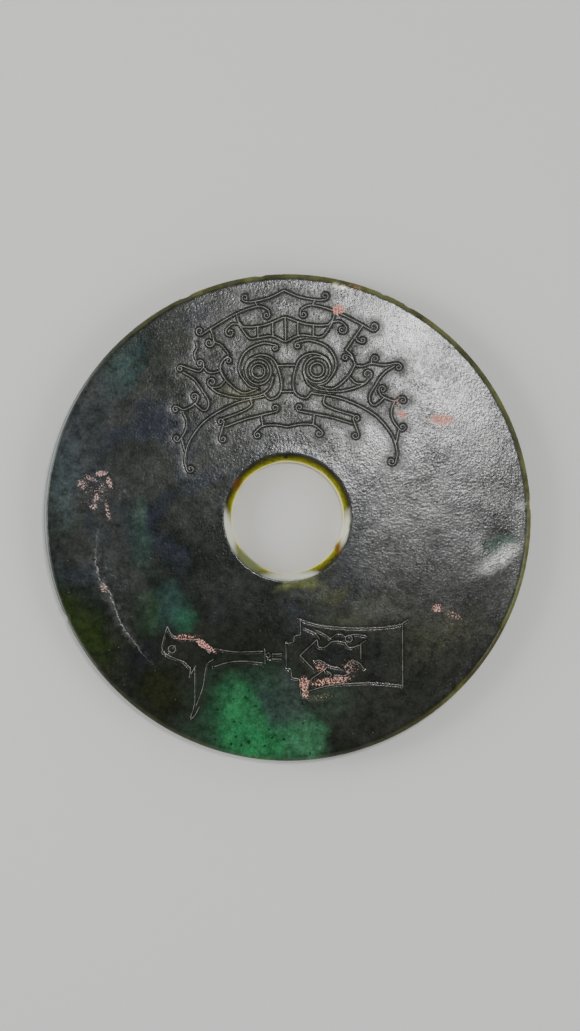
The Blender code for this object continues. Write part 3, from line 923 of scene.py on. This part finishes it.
# where handling has kept the polish bright
wornBright = {
    "upperRight": patch((50, 79), (17, 12), -40, 0.9),
    "underEar": patch((35, 31), (9, 9), 30, 0.9),
    "aboveHollow": patch((73, 42), (9, 14), 20, 1.0),
    "belowHollow": patch((82, -17), (12, 7), 30, 1.0),
}

# where fine hairlines show
hairlines = {
    "upper": patch((-77, 12), (11, 8), 0, 0.9),
    "lower": patch((-72, -30), (10, 10), 0, 0.9),
}

# where the bore's wall is stained brown, greyer or chipped, and painted highlights where it catches
# the light at the left, the foot and the right
boreTones = {
    "brownLeft": patch((-20.8, 13.8), (1.6, 2.6), -34, 1.0, 0.9, (0.130, 0.040, 0.002)),
    "brownRight": patch((21.0, -12.8), (1.6, 2.6), 30, 1.0, 0.9, (0.170, 0.070, 0.003)),
    "greyFoot": patch((-16.0, -18.0), (7.0, 2.6), -42, 1.0, 0.9, (0.20, 0.23, 0.11)),
    # painted highlights: white where the bore's wall catches the light
    "highlightLeft": patch((-24.2, -5.4), (2.0, 8.6), 13, 0.9, 0.9, (0.84, 0.86, 0.76)),
    "highlightFoot": patch((2.0, -24.2), (11.0, 1.8), 2, 0.9, 0.9, (0.84, 0.86, 0.76)),
    "highlightRight": patch((23.6, -4.6), (1.3, 6.4), -11, 0.9, 0.9, (0.84, 0.85, 0.70)),
    "bareChip": patch((-0.8, 25.2), (0.9, 1.1), 0, 0.6, 0.9, (0.010, 0.010, 0.004)),
}

# the bore's wall from its waist to its mouth, painted as the glow of light through thin stone: pale
# and thin, then olive, then dark
boreGlowStops = [
    (0.00, (0.90, 0.87, 0.58)),
    (0.12, (0.86, 0.80, 0.30)),
    (0.20, (0.36, 0.35, 0.016)),
    (0.42, (0.165, 0.165, 0.005)),
    (0.66, (0.062, 0.058, 0.003)),
    (0.88, (0.012, 0.012, 0.002)),
]

# the pale crack at the left: a height and how far across it is there, in millimetres
crack = {
    "low": -64.0,
    "high": 8.0,
    "left": -85.0,
    "right": -45.0,
    "wander": 4.5,
    "path": [
        (-64.0, -50.5), (-58.5, -57.0), (-53.0, -61.5), (-47.5, -65.5),
        (-42.0, -69.0), (-35.0, -71.2), (-29.5, -74.0), (-23.0, -78.0),
        (-15.0, -78.6), (-7.5, -78.0), (0.0, -76.5), (8.0, -74.5),
    ],
}

# colours of the stone, of what lies on it and of the painted highlights, glow and shade, with how
# strongly each is laid on
deepJade = (0.008, 0.012, 0.009)
jadeTones = {
    "cloud": ((0.032, 0.035, 0.029), 1.0),
    "bluish": ((0.013, 0.016, 0.029), 0.7),
    "greyer": ((0.075, 0.075, 0.070), 0.7),
    "foot": ((0.012, 0.013, 0.008), 0.65),
    "maskDarker": ((0.018, 0.019, 0.011), 1.0),
    "speck": ((0.004, 0.016, 0.006), 0.85),
    "dust": ((0.30, 0.31, 0.32), 1.0),
    "lineDirt": ((0.016, 0.017, 0.009), 0.5),
    # a painted highlight on the ridges, and the grooves painted near black, partly dirt and partly
    # painted shade
    "ridge": ((0.235, 0.236, 0.218), 1.0),
    "groove": ((0.003, 0.003, 0.002), 0.95),
    "crackHaze": ((0.20, 0.20, 0.20), 0.22),
    "crack": ((0.42, 0.40, 0.39), 0.85),
    "hairline": ((0.22, 0.22, 0.23), 0.5),
    "redPale": ((1.0, 0.52, 0.42), 1.0),
    "redDusty": ((0.72, 0.55, 0.52), 0.55),
    "rimLight": ((0.140, 0.150, 0.035), 1.0),
    "rimGlint": ((0.34, 0.38, 0.40), 1.0),
    # the colour of the painted highlights round the hollow
    "paintedGlints": ((0.66, 0.67, 0.63), 1.0),
    "scratch": ((0.20, 0.20, 0.19), 0.13),
}
redDark = (0.34, 0.050, 0.034)
rimDark = (0.050, 0.048, 0.008)

# patterns in the stone: features in a millimetre, octaves and roughness
patterns = {
    "swirl": (0.05, 3.0, 0.5),
    "fineSwirl": (0.22, 4.0, 0.5),
    "clouds": (0.030, 4.0, 0.55),
    "dapple": (0.085, 5.0, 0.62),
    "mottle": (0.30, 5.0, 0.65),
    "grain": (1.1, 4.0, 0.7),
    "crumbs": (1.5, 4.0, 0.75),
    "bluish": (0.045, 3.0, 0.5),
    "wander": (0.45, 5.0, 0.75),
    "boreWaver": (0.12, 3.0, 0.5),
    "boreWork": (0.5, 4.0, 0.7),
    "rimWaver": (0.10, 3.0, 0.5),
    "strokes": (1.0, 3.0, 0.6),
    "scratches": (1.0, 2.0, 0.6),
    "pits": (0.28, 2.0, 0.5),
    "scuffs": (1.1, 1.5, 0.5),
    "brushed": (1.0, 1.5, 0.5),
    "matt": (0.8, 3.0, 1.0),
    "streaks": (1.0, 2.0, 0.6),
    "mattPatches": (0.11, 4.0, 0.6),
}

# how far the patterns bend the stains and their ragged edges, in millimetres
bends = {"clouds": 14.0, "edges": 7.0, "ragged": 2.5}

# cells for the specks and the hairlines, in a millimetre
cellScales = {"specks": 0.24, "dust": 0.21, "hairlines": 0.15}

# how each effect fades: from, to, its share at both, and False where the fade is straight
fades = {
    "onFace": (faceHeight * 1000 - 2.2, faceHeight * 1000 - 0.6),
    "toRight": (-30.0, 95.0),
    "toFoot": (-10.0, -60.0),
    "cloud": (0.38, 0.62),
    "bluish": (0.50, 0.64),
    "bluishSide": (10.0, 45.0, 1.0, 0.15),
    "greyer": (0.25, 0.7, 0.4, 1.0, False),
    "maskDarker": (0.3, 0.6, 0.4, 0.9),
    "mottledShade": (0.3, 0.7, 0.45, 1.6, False),
    "grainyShade": (0.34, 0.66, 0.72, 1.3, False),
    "greenHeight": (-62.0, -76.0),
    "greenWidth": (22.0, 28.0, 1.0, 0.0),
    "speck": (0.10, 0.20, 1.0, 0.0),
    "dust": (0.03, 0.06, 1.0, 0.0),
    "dustSide": (0.2, 0.6, 0.35, 0.05),
    "lineDirt": (0.6, 3.0, 1.0, 0.0),
    "lineDirtMottle": (0.35, 0.6, 0.2, 1.0),
    "ridge": (0.10, 0.24, 1.0, 0.0),
    "ridgeMottle": (0.36, 0.6, 0.45, 0.95),
    "groove": (0.06, 0.15, 1.0, 0.0),
    "crackFoot": (crack["low"], -46.0),
    "crackHead": (-8.0, -2.0, 1.0, 0.0),
    "crackFaint": (-20.0, -14.0, 1.0, 0.25),
    "crack": (0.06, 0.34, 1.0, 0.0),
    "crackGrain": (0.40, 0.56, 0.1, 1.0),
    "crackHaze": (0.3, 3.5, 1.0, 0.0),
    "crackMottle": (0.4, 0.6),
    "hairline": (0.004, 0.022, 1.0, 0.0),
    "hairlineMottle": (0.46, 0.62),
    "redCrumbs": (0.70, 0.82),
    "redEdge": (0.02, 0.25),
    "redPale": (0.44, 0.58),
    "redDusty": (-66.0, -72.0),
    "boreWaver": (0.0, 0.4, 0.0, 0.5),
    "boreWork": (0.34, 0.62, 0.55, 1.15),
    "cleanLip": (0.10, 0.30, 1.0, 0.0),
    "inBore": (faceInner * 1000 - 0.7, faceInner * 1000 - 0.1, 1.0, 0.0),
    "rim": (97.5, 98.8),
    "rimSide": (-30.0, 20.0, 0.15, 1.0),
    "rimLight": (0.35, 0.65),
    "rimGlint": (98.7, 99.2),
    "rimGlintSide": (-70.0, -90.0),
    "rimGlintEnds": (12.0, 60.0, 0.75, 0.3),
    "strokes": (0.44, 0.58, 0.03, 1.0),
    "scratch": (0.70, 0.76),
    "polish": (0.1, 0.8, 0.17, 0.20),
    "dappledPolish": (0.3, 0.7, -0.02, 0.03, False),
    "nearLines": (1.5, 4.5, 1.0, 0.0),
    "maskHeight": (5.0, 15.0),
    "maskMottle": (0.35, 0.6, 0.6, 1.0),
    "coarseSide": (0.0, 1.0, 0.6, 1.0),
    "coarseByLines": (0.5, 1.2, 0.3, 1.0),
    "matt": (0.40, 0.60, 0.0, 0.70, False),
    "mattPatches": (0.36, 0.64),
    "dullRim": (98.0, 98.7),
}

# the polish: what roughens it, what the bump is made of, and where the stone is dull
polish = {
    "refraction": 1.61,
    "redRough": 0.3,
    "maskRough": 0.12,
    "boreRough": 0.35,
    "footPolish": 0.8,
    "bumpHeight": 0.00010,
    "pits": 0.42,
    "scuffs": 0.52,
    "brushed": 0.17,
    "footSmooth": 0.4,
    "brushedStretch": (1.5, 0.35, 1.0),
    "streakStretch": (1.9, 0.45, 1.0),
    "streakShare": 0.35,
    "brightLessGrain": 0.055,
    "brightLessPatches": 0.6,
    "patchesMatt": 0.26,
    "footMatt": 0.16,
    "grooveDull": 0.78,
    "boreDull": 0.92,
    "rimDull": 0.6,
    "redDull": 0.8,
    "dullRoughness": 0.9,
    "dullSpecular": 0.1,
}

# smaller amounts in the finish: millimetres, or shares of one
amounts = {
    "rightSlope": 0.6,  # how much height counts beside width in what fades to the right
    "footSlope": 0.1,
    "greenMiddle": -8.0,
    "ridgeLessAtFoot": 0.25,
    "redReach": 0.34,
    "redCover": 0.95,
    "rimWaver": 1.6,
    "rimCover": 0.85,
    "glintMiddle": 14.0,
    "strokeShare": 0.6,
    "scratchSpacing": 26,
}

scratchRuns = ((35, 2.2), (-28, 1.7), (80, 2.6))  # degrees, and how long they run
strokeRuns = {"degrees": 22, "scale": (2.4, 0.42)}
grooveMiddle = 0.40  # from the middle of the ridge, in millimetres


class JadeTree(NodeTree):
    # the places and patterns that the whole finish reads, in millimetres
    def __init__(self, tree):
        super().__init__(tree)
        inMetres = self.add("ShaderNodeTexCoord", output="Object")
        self.place = self.vector("SCALE", inMetres, scale=1000.0)
        self.x, self.y, self.z = [
            self.add("ShaderNodeSeparateXYZ", {}, {0: self.place}, axis) for axis in range(3)
        ]
        flat = self.vector("MULTIPLY", self.place, (1, 1, 0))
        self.radius = self.vector("LENGTH", flat, output=1)
        stored = {"attribute_name": "lineDistance"}
        self.lineDistance = self.add("ShaderNodeAttribute", stored, output="Fac") * 1000.0

        swirl = self.swirl("swirl")
        fineSwirl = self.swirl("fineSwirl")
        bent = self.shifted(self.place, swirl, bends["clouds"])
        bent = self.shifted(bent, fineSwirl, bends["edges"])
        self.bent = self.vector("MULTIPLY", bent, (1, 1, 0.3))
        self.ragged = self.shifted(self.place, fineSwirl, bends["ragged"])

        self.dapple = self.pattern("dapple", self.bent)
        self.mottle = self.pattern("mottle")
        self.grain = self.pattern("grain")
        self.crumbs = self.pattern("crumbs")
        self.onFace = self.fade("onFace", self.z)
        self.toRight = self.fade("toRight", self.x + self.y * amounts["rightSlope"])
        self.toFoot = self.fade("toFoot", self.y - self.x * amounts["footSlope"])
        self.inGroove = self.fade("groove", abs(self.lineDistance - grooveMiddle))
        self.inBore = self.fade("inBore", self.radius)

    def pattern(self, name, place=None, output=0):
        return self.noise(place or self.place, *patterns[name], output=output)

    def fade(self, name, value):
        return self.between(value, *fades[name])

    def swirl(self, name):
        return self.vector("SUBTRACT", self.pattern(name, output=1), (0.5, 0.5, 0.5))

    def shifted(self, place, swirl, size):
        return self.vector("ADD", place, self.vector("SCALE", swirl, scale=size))

    def laid(self, under, name, share):
        paint, strength = jadeTones[name]
        return self.mixColour(share * strength, under, paint)

    def turned(self, place, degrees, scale, centre=(0, 0)):
        inputs = {
            "Vector": place,
            "Location": (*centre, 0),
            "Rotation": (0, 0, math.radians(degrees)),
            "Scale": (*scale, 1),
        }
        return self.add("ShaderNodeMapping", {"vector_type": "TEXTURE"}, inputs)

    def spot(self, area, around=None):
        # the patch's strength inside it, falling to nothing outside
        flat = self.vector("MULTIPLY", around or self.bent, (1, 1, 0))
        local = self.turned(flat, area["turn"], area["reach"], area["centre"])
        distance = self.vector("LENGTH", local, output=1)
        fade = area["soft"] * patchFade
        return self.between(distance, 1 - fade, 1 + fade, area["strength"], 0.0)

    def painted(self, under, areas, around=None):
        for area in areas.values():
            under = self.mixColour(self.spot(area, around), under, area["paint"])
        return under

    def strongest(self, areas, around=None):
        return self.greatest(self.spot(area, around) for area in areas.values())

    def stone(self):
        # dark and cloudy, greyer to the right, partly a grey weathering and partly a painted sheen
        # of the light from the upper right, and browner at the foot
        stone = self.laid(deepJade, "cloud", self.fade("cloud", self.pattern("clouds", self.bent)))
        bluish = self.fade("bluish", self.pattern("bluish", self.bent))
        stone = self.laid(stone, "bluish", bluish * self.fade("bluishSide", self.x))
        # greyer to the right: partly weathering of the stone, partly a painted sheen
        stone = self.laid(stone, "greyer", self.toRight * self.fade("greyer", self.dapple))
        stone = self.laid(stone, "foot", self.toFoot)
        darkened = self.spot(maskDarker) * self.fade("maskDarker", self.dapple)
        stone = self.laid(stone, "maskDarker", darkened)
        stone = self.painted(stone, stainsAndPaintedLight)
        shade = self.fade("mottledShade", self.mottle) * self.fade("grainyShade", self.grain)
        return self.vector("SCALE", stone, scale=shade)

    def withSpecks(self, stone):
        # dark specks in the green, and pale dust on the dark side
        fromMiddle = abs(self.x - amounts["greenMiddle"])
        inGreen = self.fade("greenHeight", self.y) * self.fade("greenWidth", fromMiddle)
        specks = self.fade("speck", self.cells(self.ragged, cellScales["specks"]))
        stone = self.laid(stone, "speck", specks * inGreen)
        dust = self.fade("dust", self.cells(self.place, cellScales["dust"]))
        return self.laid(stone, "dust", dust * self.fade("dustSide", self.toRight))

    def withLines(self, stone):
        # dirt lies thinly round the grooves, the ridges are painted lighter as a painted highlight,
        # and the grooves are painted near black, partly dirt and partly painted shade
        halo = self.fade("lineDirt", self.lineDistance) * self.fade("lineDirtMottle", self.mottle)
        stone = self.laid(stone, "lineDirt", halo)
        lessAtFoot = self.toFoot * amounts["ridgeLessAtFoot"]
        ridgeShare = self.fade("ridgeMottle", self.mottle) - lessAtFoot
        # the ridges painted lighter, a painted highlight
        stone = self.laid(stone, "ridge", self.fade("ridge", self.lineDistance) * ridgeShare)
        # the grooves painted near black, partly dirt and partly painted shade
        return self.laid(stone, "groove", self.inGroove)

    def withCrack(self, stone):
        # the crack is thin and broken, with a faint web of hairlines beside it
        tall = crack["high"] - crack["low"]
        wide = crack["right"] - crack["left"]
        path = [
            ((height - crack["low"]) / tall, (across - crack["left"]) / wide)
            for height, across in crack["path"]
        ]
        up = (self.y - crack["low"]) / tall
        course = self.add("ShaderNodeFloatCurve", {"curve": path}, {"Value": up}) * wide
        wander = (self.pattern("wander") - 0.5) * crack["wander"]
        off = abs(self.x - (course + crack["left"]) + wander)
        shown = self.fade("crackFoot", self.y) * self.fade("crackHead", self.y)
        shown = shown * self.fade("crackFaint", self.y)
        haze = self.fade("crackHaze", off) * self.fade("crackMottle", self.mottle) * shown
        stone = self.laid(stone, "crackHaze", haze)
        line = self.fade("crack", off) * self.fade("crackGrain", self.grain) * shown
        stone = self.laid(stone, "crack", line)

        web = self.cells(self.bent, cellScales["hairlines"], "DISTANCE_TO_EDGE")
        web = self.fade("hairline", web) * self.fade("hairlineMottle", self.mottle)
        return self.laid(stone, "hairline", web * self.strongest(hairlines))

    def redEarth(self):
        # in crumbs, ragged at its edges
        near = self.strongest(redSpots, self.ragged)
        crumbs = self.fade("redCrumbs", self.crumbs + near * amounts["redReach"])
        return crumbs * self.fade("redEdge", near)

    def withRed(self, stone, red):
        tone = self.laid(redDark, "redPale", self.fade("redPale", self.crumbs))
        tone = self.laid(tone, "redDusty", self.fade("redDusty", self.x))
        return self.mixColour(red * amounts["redCover"] * self.onFace, stone, tone)

    def withEdges(self, stone):
        # painted glow of light through the thin edges: yellow green at the bore and the rim, with
        # painted highlights on the bore's wall and along the left rim
        waist = waistRadius * 1000
        up = (self.radius - waist) / (faceInner * 1000 - waist)
        waver = (self.pattern("boreWaver") - 0.5) * self.fade("boreWaver", up)
        # the painted glow of light through the bore's thin wall
        wall = self.add("ShaderNodeValToRGB", {"stops": boreGlowStops}, {"Fac": up + waver})
        work = self.fade("boreWork", self.pattern("boreWork", self.ragged))
        wall = self.vector("SCALE", wall, scale=self.fade("cleanLip", up) * (1.0 - work) + work)
        wall = self.painted(wall, boreTones, self.ragged)
        stone = self.mixColour(self.inBore, stone, wall)

        # a painted glow of light through the thin rim, olive towards the right and the top
        waver = (self.pattern("rimWaver") - 0.5) * amounts["rimWaver"]
        atRim = self.fade("rim", self.radius + waver)
        atRim = atRim * self.fade("rimSide", self.x + self.y * amounts["rightSlope"])
        rim = self.laid(rimDark, "rimLight", self.fade("rimLight", self.dapple))
        stone = self.mixColour(atRim * amounts["rimCover"], stone, rim)
        # a painted highlight along the left rim
        glint = self.fade("rimGlint", self.radius) * self.fade("rimGlintSide", self.x)
        fromMiddle = abs(self.y - amounts["glintMiddle"])
        glint = glint * self.fade("rimGlintEnds", fromMiddle) * self.onFace
        return self.laid(stone, "rimGlint", glint)

    def withGlintsAndScratches(self, stone):
        # painted highlights in broken strokes round the hollow, and fine scratches all over
        strokePlace = self.turned(self.ragged, strokeRuns["degrees"], strokeRuns["scale"])
        strokes = self.pattern("strokes", strokePlace) * amounts["strokeShare"]
        broken = self.fade("strokes", strokes + self.crumbs * (1 - amounts["strokeShare"]))
        # painted highlights, broken into strokes
        for area in paintedGlints.values():
            stone = self.laid(stone, "paintedGlints", self.spot(area, self.ragged) * broken)
        scratches = None
        for degrees, run in scratchRuns:
            local = self.turned(self.ragged, degrees, (amounts["scratchSpacing"], 1 / run))
            line = self.fade("scratch", self.pattern("scratches", local))
            scratches = line if scratches is None else scratches + line
        return self.laid(stone, "scratch", scratches * self.onFace)

    def roughness(self, red):
        rough = self.fade("polish", self.toRight * (1.0 - self.toFoot * polish["footPolish"]))
        rough = rough + self.fade("dappledPolish", self.dapple) + red * polish["redRough"]
        nearMask = self.fade("nearLines", self.lineDistance) * self.fade("maskHeight", self.y)
        nearMask = nearMask * self.fade("maskMottle", self.mottle)
        return rough + nearMask * polish["maskRough"] + self.inBore * polish["boreRough"]

    def unevenness(self):
        # pits, scuffs and brush marks, coarser to the right and softer beside the lines
        brushedPlace = self.vector("MULTIPLY", self.ragged, polish["brushedStretch"])
        height = (
            self.pattern("pits") * polish["pits"]
            + self.pattern("scuffs") * polish["scuffs"]
            + self.pattern("brushed", brushedPlace) * polish["brushed"]
        )
        coarse = self.fade("coarseSide", self.toRight) * (1.0 - self.toFoot * polish["footSmooth"])
        coarse = coarse * self.fade("coarseByLines", self.lineDistance)
        return height * coarse

    def dullness(self, red):
        # a matt grain over the face, and dull grooves, bore, rim and red earth
        streakPlace = self.vector("MULTIPLY", self.ragged, polish["streakStretch"])
        streaks = self.pattern("streaks", streakPlace) * polish["streakShare"]
        grainy = self.pattern("matt") * (1 - polish["streakShare"]) + streaks
        bright = self.strongest(wornBright)
        matt = self.fade("matt", grainy - bright * polish["brightLessGrain"])
        areas = self.fade("mattPatches", self.pattern("mattPatches", self.bent))
        areas = areas * (1.0 - bright * polish["brightLessPatches"])
        matt = matt + areas * polish["patchesMatt"] + self.toFoot * polish["footMatt"]
        return self.greatest([
            matt * self.onFace,
            self.inGroove * polish["grooveDull"],
            self.inBore * polish["boreDull"],
            self.fade("dullRim", self.radius) * polish["rimDull"],
            red * polish["redDull"],
        ])


def jadeFinish():
    material = bpy.data.materials.new("dark jade")
    material.use_nodes = True
    nodes = material.node_tree.nodes
    links = material.node_tree.links
    tree = JadeTree(material.node_tree)
    red = tree.redEarth()
    stone = tree.withSpecks(tree.stone())
    stone = tree.withCrack(tree.withLines(stone))
    stone = tree.withEdges(tree.withRed(stone, red))
    stone = tree.withGlintsAndScratches(stone)
    bump = {"Strength": 1.0, "Distance": polish["bumpHeight"], "Height": tree.unevenness()}
    normal = tree.add("ShaderNodeBump", {}, bump)

    shader = nodes["Principled BSDF"]
    shader.inputs["IOR"].default_value = polish["refraction"]
    fed = {"Base Color": stone, "Roughness": tree.roughness(red), "Normal": normal}
    for name, value in fed.items():
        links.new(value.socket, shader.inputs[name])
    dullInputs = {
        "Base Color": stone,
        "Roughness": polish["dullRoughness"],
        "Specular IOR Level": polish["dullSpecular"],
    }
    dull = tree.add("ShaderNodeBsdfPrincipled", {}, dullInputs)
    polished = Number(tree, shader.outputs[0])
    whole = tree.add("ShaderNodeMixShader", {}, {0: tree.dullness(red), 1: polished, 2: dull})
    links.new(whole.socket, nodes["Material Output"].inputs["Surface"])
    print("jade finish", len(nodes), "nodes")
    return material


jade = jadeFinish()
lines = carvedLines()
print("carving", len(lines), "lines")
vertices, faces = discMesh(lines)
addNicks(vertices)
base = addMesh("discBase", vertices, faces)
for polygon in base.data.polygons:
    polygon.use_smooth = True
guide = linesObject(lines)
disc = converted(base, "jadeDisc", carvingTree(), {**carving, "Lines": guide, "Finish": jade})
bpy.data.objects.remove(guide)
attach(disc, "root")
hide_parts("jade_disc")
print("disc", len(disc.data.polygons), "faces")

# the floor is just under the back, so that the two don't flicker through each other
floorShape = {"half": 3.0, "drop": 0.0004, "paint": (0.80, 0.79, 0.77, 1), "roughness": 0.9}

# lights in metres and watts, all turned to the middle of the disc
lights = {
    "key": {"place": (0.112, 0.157, 1.20), "size": (0.12, 0.12), "power": 4.1},
    "broad": {"place": (0.160, 0.100, 1.22), "size": (0.26, 0.26), "power": 0.4},
    "leftSide": {"place": (-1.1, 0.1, 0.6), "size": (0.5, 0.9), "power": 8.0},
    "rightSide": {"place": (1.1, -0.4, 0.9), "size": (0.8, 0.8), "power": 5.0},
}

# the room is pale round the sides and dark overhead
roomLook = {
    "sides": (0.80, 0.82, 0.84),
    "overhead": (0.05, 0.05, 0.05),
    "overheadFrom": 0.60,
    "overheadTo": 0.85,
    "strength": 0.9,
}

# straight above the disc, with the photograph's height of view on the face, in metres
cameraView = {"place": (0.00102, 0.00082), "distance": 1.0, "seenTall": 0.42254}


def addFloor():
    half = floorShape["half"]
    corners = [(-half, -half), (half, -half), (half, half), (-half, half)]
    floor = addMesh("floor", [(x, y, -floorShape["drop"]) for x, y in corners], [(0, 1, 2, 3)])
    finish = bpy.data.materials.new("pale floor")
    finish.use_nodes = True
    shader = finish.node_tree.nodes["Principled BSDF"]
    shader.inputs["Base Color"].default_value = floorShape["paint"]
    shader.inputs["Roughness"].default_value = floorShape["roughness"]
    floor.data.materials.append(finish)


def addLight(name, place, size, power):
    light = bpy.data.lights.new(name, "AREA")
    light.shape = "RECTANGLE"
    light.size, light.size_y = size
    light.energy = power
    made = bpy.data.objects.new(name, light)
    made.location = place
    made.rotation_euler = (-Vector(place)).to_track_quat("-Z", "Y").to_euler()
    bpy.context.scene.collection.objects.link(made)


def addRoom():
    world = bpy.data.worlds.new("room")
    bpy.context.scene.world = world
    world.use_nodes = True
    tree = NodeTree(world.node_tree)
    background = world.node_tree.nodes["Background"]
    facing = tree.add("ShaderNodeTexCoord", output="Generated")
    up = tree.add("ShaderNodeSeparateXYZ", {}, {0: facing}, 2)
    overhead = tree.between(up, roomLook["overheadFrom"], roomLook["overheadTo"])
    colour = tree.mixColour(overhead, roomLook["sides"], roomLook["overhead"])
    world.node_tree.links.new(colour.socket, background.inputs["Color"])
    background.inputs["Strength"].default_value = roomLook["strength"]


def addCamera():
    lens = bpy.data.cameras.new("camera")
    lens.lens = lens.sensor_width * cameraView["distance"] / cameraView["seenTall"]
    camera = bpy.data.objects.new("camera", lens)
    camera.location = (*cameraView["place"], faceHeight + cameraView["distance"])
    bpy.context.scene.collection.objects.link(camera)
    bpy.context.scene.camera = camera


addFloor()
for name, light in lights.items():
    addLight(name, **light)
addRoom()
addCamera()
print("floor,", len(lights), "lights, room and camera")
